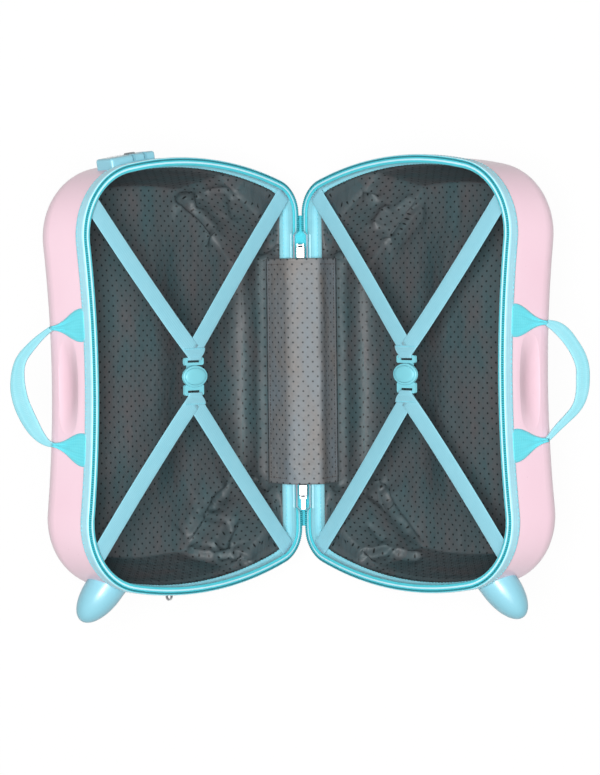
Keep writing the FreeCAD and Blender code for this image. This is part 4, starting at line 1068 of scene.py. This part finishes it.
def make_handle_tabs(side):
    points, faces, uv = [], [], []
    rows, columns = TAB_GRID
    wide, long = TAB_CELL
    for end in (-1, 1):
        start = len(points)
        neck = HANDLE_MIDDLE + end * HANDLE_SPAN / 2
        for layer in (0, 1):
            for r in range(rows):
                s = r / (rows - 1)
                depth = TAB_START + s * (AXIS_DEPTH - TAB_START)
                half = NECK_HALF + TAB_FLARE * (1 - smooth(*TAB_FLARE_AT, s))
                middle = neck + end * TAB_SPLAY * (1 - s)
                for c in range(columns):
                    t = 2 * c / (columns - 1) - 1
                    along = middle + t * half
                    pleat = PLEAT_RISE * smooth(*PLEAT_AT, s) * (0.5 + 0.5 * math.cos(PLEATS * math.pi * t))
                    pinch = PINCH_RISE * smooth(*PINCH_AT, s) * (1 - PINCH_CROWN * t * t)
                    lift = TAB_LIFT + pleat + pinch + (TAB_THICK if layer == 0 else 0.0)
                    edge = EDGE_FALL * (abs(t) ** EDGE_POWER) * (1 if layer == 0 else EDGE_BELOW)
                    points.append((depth, along, saddle_at(along) + lift - edge))
        for layer in (0, 1):
            base = start + layer * rows * columns
            for face in grid_faces(rows, columns):
                turned = face if layer == 0 else face[::-1]
                faces.append(tuple(base + i for i in turned))
                uv.append([((i % columns) * wide, (i // columns) * long) for i in turned])
        ring = list(range(columns))
        ring += [r * columns + columns - 1 for r in range(1, rows)]
        ring += [(rows - 1) * columns + c for c in range(columns - 2, -1, -1)]
        ring += [r * columns for r in range(rows - 2, 0, -1)]
        lower = rows * columns
        for i, a in enumerate(ring):
            b = ring[(i + 1) % len(ring)]
            faces.append((start + a, start + lower + a, start + lower + b, start + b))
            uv.append([(0.0, 0.0), (0.0, 2.0), (wide, 2.0), (wide, 0.0)])
    obj = make_piece(f"{side}_handle_ends", to_row(points, side), faces, TAB_WEAVE, uv)
    fix_normals(obj)
    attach(obj, f"{side}_half")
    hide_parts(f"{side}_handle_tabs")


# Loops of the handles in their own plane: reach out from the neck line, place along it, width and
# thickness. They were read off the photograph in pixels, and another program made millimetres of them.
HANDLE_LOOP = {
    "left": (
        (0.0, 62.6, 5.4, 4.6), (10.8, 55.0, 7.1, 4.4), (21.7, 45.7, 9.5, 4.2), (33.8, 33.2, 11.8, 3.8),
        (39.4, 22.4, 13.9, 3.6), (41.5, 9.3, 16.6, 3.6), (41.0, -3.8, 18.8, 3.6), (37.9, -16.8, 19.3, 3.6),
        (32.1, -29.9, 19.3, 3.6), (23.7, -43.9, 17.2, 3.8), (15.4, -54.1, 12.9, 4.2), (7.0, -60.6, 8.0, 4.4),
        (0.0, -63.0, 5.4, 4.6)),
    "right": (
        (0.0, 63.2, 7.0, 4.6), (11.8, 57.8, 12.9, 4.2), (21.3, 50.2, 15.0, 3.8), (30.0, 39.6, 15.0, 3.6),
        (37.5, 27.6, 15.6, 3.6), (41.9, 15.0, 15.6, 3.6), (42.4, 2.5, 16.1, 3.6), (41.6, -10.5, 15.0, 3.6),
        (38.4, -22.3, 12.9, 3.8), (32.4, -31.8, 10.7, 4.0), (22.7, -41.0, 9.1, 4.2), (12.3, -50.1, 8.0, 4.4),
        (4.9, -57.4, 6.4, 4.6), (0.0, -62.2, 5.4, 4.6)),
}
LOOP_HEIGHT = saddle_at(abs(HANDLE_MIDDLE) + (HANDLE_SPAN + KNUCKLE_LENGTH) / 2) + KNUCKLE + NECK_GAP
GRIP_RISE = math.radians(25.0)
LOOP_TURNS = 24
LOOP_CELL = 1.6
LOOP_GROOVE = 0.5
GROOVE_SHARE = 0.12
LOOP_STEPS = 8
# Powers that square off the loop's oval section across its width and its thickness.
WIDTH_POWER = 0.6
THICK_POWER = 0.45


def loop_point(reach, along, off):
    """Place of (reach from the neck line, along it, off the loop's plane) in the half's own axes."""
    c, s = math.cos(GRIP_RISE), math.sin(GRIP_RISE)
    return AXIS_DEPTH + reach * c - off * s, HANDLE_MIDDLE + along, LOOP_HEIGHT + reach * s + off * c


def make_handle_loop(side):
    line = spline(HANDLE_LOOP[side], LOOP_STEPS)
    tangent = np.gradient(line[:, :2], axis=0)
    tangent /= np.linalg.norm(tangent, axis=1)[:, None]
    across = np.column_stack([tangent[:, 1], -tangent[:, 0]])
    m = LOOP_TURNS
    shape = [(math.cos(a), math.sin(a)) for a in np.linspace(0, 2 * math.pi, m, endpoint=False)]
    points = []
    for (reach, along, width, thick), a in zip(line, across):
        for cx, cy in shape:
            flat_x = math.copysign(abs(cx) ** WIDTH_POWER, cx) * width / 2
            flat_z = math.copysign(abs(cy) ** THICK_POWER, cy) * thick / 2
            groove = -LOOP_GROOVE * math.exp(-(flat_x / (GROOVE_SHARE * width)) ** 2) * (1 if cy > 0 else -1)
            points.append(loop_point(reach + a[0] * flat_x, along + a[1] * flat_x, flat_z + groove))
    around = [k * LOOP_CELL for k in range(m + 1)]
    faces, uv = tube(len(line), around, running_length(line[:, :2]))
    for i, order in ((0, range(m)), (len(line) - 1, range(m - 1, -1, -1))):
        faces.append(tuple(i * m + k for k in order))
        uv.append([(around[k], 0.0) for k in order])
    obj = make_piece(f"{side}_handle_loop", to_row(points, side), faces, HANDLE_WEAVE, uv)
    fix_normals(obj)
    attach(obj, f"{side}_handle")
    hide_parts(f"{side}_handle_grip")


# Cloth hinge: a dotted panel over the ridge between the halves, and a tape along its outside.
# The panel's top is flat and broad, and falls off more steeply on the right half.
GUSSET_LEFT = (
    (0.0, 5.4), (6.0, 5.3), (12.0, 4.6), (17.0, 2.6), (21.0, -1.6), (26.0, -7.2), (33.0, -15.6),
    (41.0, -26.2),
)
GUSSET_RIGHT = (
    (0.0, 5.4), (8.0, 5.3), (17.0, 5.0), (22.5, 3.4), (26.0, -1.6), (28.6, -8.0), (33.0, -15.8),
    (41.0, -26.2),
)
TAPE_LINE = ((0.0, -0.4), (2.0, -1.4), (6.0, -5.2), (10.3, -9.7))
HEM = 5.0
HEM_RISE = 0.7
PANEL_WAVE = 1.4
WAVE_ACROSS = (12, 24)
WAVE_FROM_EDGE = (0, 12)
WAVES_PER_MM = (0.05, 0.03)
WAVE_SEED = 4.0
HEM_EDGE = (HEM - 0.8, HEM + 0.4)
HEM_SEAM = HEM + 0.8
STITCH_LIFT = 0.0002
HINGE_THICK = 0.001
SECTION_STEPS = 5
HINGE_STATIONS = 160
HEM_CORNER = 16
HEM_STITCH_PITCH = 3.2
HEM_STITCH = (2.3, 0.7, 0.6)
# The zip's tape goes on past the panel, slack below the sliders and the reach of their pulls.
SLACK_LINE = ((0.0, -11.6), (4.0, -11.4), (8.0, -11.5), (11.8, -12.4))
SLACK_END = 181.0


def make_hinge_cloth():
    gusset = "hinge_gusset_cloth"
    whole, rear, front = (-CLOTH_HALF, CLOTH_HALF), (CLOTH_HALF, SLACK_END), (-SLACK_END, -CLOTH_HALF)
    for name, left, right, ends, material, slot_name in (
            (gusset, GUSSET_LEFT, GUSSET_RIGHT, whole, GUSSET, "grey_lining"),
            ("hinge_outer_tape", TAPE_LINE, TAPE_LINE, whole, PALE_TAPE, "aqua_binding"),
            ("rear_slack_tape", SLACK_LINE, SLACK_LINE, rear, ZIP_TAPE, "aqua_binding"),
            ("front_slack_tape", SLACK_LINE, SLACK_LINE, front, ZIP_TAPE, "aqua_binding")):
        section = np.vstack([spline(left, SECTION_STEPS)[1:][::-1] * (-1, 1), spline(right, SECTION_STEPS)])
        run = running_length(section)
        run -= run[-1] / 2
        stations = np.linspace(*ends, HINGE_STATIONS)
        points = []
        for v in stations:
            for (x, z), r in zip(section, run):
                if name == gusset:
                    to_edge = min(run[-1] - abs(r), CLOTH_HALF - abs(v))
                    away = smooth(*WAVE_ACROSS, abs(x)) * smooth(*WAVE_FROM_EDGE, to_edge)
                    wave = noise.noise(Vector((x * WAVES_PER_MM[0], v * WAVES_PER_MM[1], WAVE_SEED)))
                    z = z + away * PANEL_WAVE * (0.5 + wave)
                    z = z + HEM_RISE * (1 - smooth(*HEM_EDGE, to_edge))
                points.append((x / 1000, v / 1000 + CENTRE_Y, z / 1000 + HINGE_Z))
        m = len(section)
        faces = grid_faces(len(stations), m)
        uv = [[(stations[i // m], run[i % m]) for i in f] for f in faces]
        obj = make_piece(name, points, faces, material, uv)
        thickness = obj.modifiers.new("thickness", "SOLIDIFY")
        thickness.thickness = HINGE_THICK
        thickness.offset = -1.0 if name == gusset else 1.0
        plain_mesh(obj)
        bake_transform(obj)
        if name == gusset:
            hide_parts("left_hinge_cloth", "right_hinge_cloth")
            hem_stitches(np.array(points).reshape(len(stations), m, 3), run, stations)


def hem_stitches(grid, run, stations):
    """Rows of dark thread along the hem of the hinge panel, on each half's own side."""
    first = int(np.argmin(np.abs(run + run[-1] - HEM_SEAM)))
    low = int(np.argmin(np.abs(stations + CLOTH_HALF - HEM_SEAM)))
    last = len(run) - 1 - first
    for side, column, across in (("left", first, range(first, first + HEM_CORNER)),
                                 ("right", last, range(last, last - HEM_CORNER, -1))):
        lines = [grid[low:len(stations) - low, column]]
        lines += [grid[row, list(across)] for row in (low, len(stations) - 1 - low)]
        lines = [line + np.array([0.0, 0.0, STITCH_LIFT]) for line in lines]
        name = f"{side}_hinge_hem_stitches"
        sewn = repeat_along(name, lines, HEM_STITCH_PITCH, HEM_STITCH, (0.0, 0.0, 1.0), DARK_THREAD)
        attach(sewn, f"{side}_half")


FLOOR_HALF = 6.0
FLOOR_WHITE = 1.03
FLOOR_WHITE_SHARE = 0.93
WORLD_LIGHT = 0.09
# Lamps: name, place in metres, size and power.
LAMPS = (("key", (-0.15, 0.1, 2.7), 0.7, 68.0), ("fill", (0.4, -0.15, 2.6), 1.4, 25.0))
LAMP_TARGET = Vector((0, 0, 0.15))


def make_stage():
    """Pale floor and white surroundings that the camera sees as white, and two lamps overhead."""
    scene = bpy.context.scene
    scene.view_settings.view_transform = "Standard"
    floor_mesh = bpy.data.meshes.new("floor")
    w = FLOOR_HALF
    floor_mesh.from_pydata([(-w, -w, 0), (w, -w, 0), (w, w, 0), (-w, w, 0)], [], [(0, 1, 2, 3)])
    floor = bpy.data.objects.new("floor", floor_mesh)
    scene.collection.objects.link(floor)
    material, tree, bsdf = new_material("pale_floor", Base_Color=(0.5, 0.5, 0.5, 1.0), Roughness=0.9)
    ray = add(tree, "ShaderNodeLightPath").outputs
    seen = math_step(tree, "MAXIMUM", ray["Is Camera Ray"], ray["Is Glossy Ray"])
    seen = math_step(tree, "MAXIMUM", seen, ray["Is Transmission Ray"])
    share = math_step(tree, "MULTIPLY", seen, FLOOR_WHITE_SHARE)
    white = add(tree, "ShaderNodeEmission", {"Color": (1.0, 1.0, 1.0, 1.0), "Strength": FLOOR_WHITE})
    mix = add(tree, "ShaderNodeMixShader", {0: share, 1: bsdf.outputs[0], 2: white.outputs[0]})
    tree.links.new(mix.outputs[0], tree.nodes["Material Output"].inputs["Surface"])
    floor_mesh.materials.append(material)
    world = bpy.data.worlds.new("studio")
    scene.world = world
    world.use_nodes = True
    tree = world.node_tree
    back = tree.nodes["Background"]
    back.inputs["Color"].default_value = (1.0, 1.0, 1.0, 1.0)
    ray = add(tree, "ShaderNodeLightPath").outputs
    strength = add(tree, "ShaderNodeMapRange", {"Value": ray["Is Camera Ray"], "To Min": WORLD_LIGHT})
    tree.links.new(strength.outputs["Result"], back.inputs["Strength"])
    for name, place, size, power in LAMPS:
        lamp = bpy.data.lights.new(name, "AREA")
        lamp.size = size
        lamp.energy = power
        obj = bpy.data.objects.new(name, lamp)
        scene.collection.objects.link(obj)
        obj.location = place
        obj.rotation_euler = (-Vector(place) + LAMP_TARGET).to_track_quat("-Z", "Y").to_euler()


# Camera, fitted to the photograph: place in metres, turn in radians, focal length and height in pixels.
CAMERA_PLACE = (0.047, CENTRE_Y + 0.0924, HINGE_Z + 2.4)
CAMERA_TURN = (-0.04645, 0.02004, -0.01179)
FOCAL_PX = 2069.8
PHOTO_TALL = 775.0
SENSOR_MM = 36.0


def make_camera():
    """Above the open case, a little towards its rear and its right half, as the photograph is."""
    cam = bpy.data.cameras.new("camera")
    cam.sensor_width = SENSOR_MM
    cam.lens = FOCAL_PX / PHOTO_TALL * cam.sensor_width
    obj = bpy.data.objects.new("camera", cam)
    bpy.context.scene.collection.objects.link(obj)
    obj.location = CAMERA_PLACE
    obj.rotation_euler = CAMERA_TURN
    bpy.context.scene.camera = obj


finish_nodes()
for half_side in SIDES:
    make_lining(half_side)
    make_binding(half_side)
    make_zip_teeth(half_side)
    make_binding_stitches(half_side)
    make_strap(half_side, 1)
    make_strap(half_side, -1)
    make_clip_button(half_side)
    make_handle_tabs(half_side)
    make_handle_loop(half_side)
make_hinge_cloth()
make_stage()
make_camera()
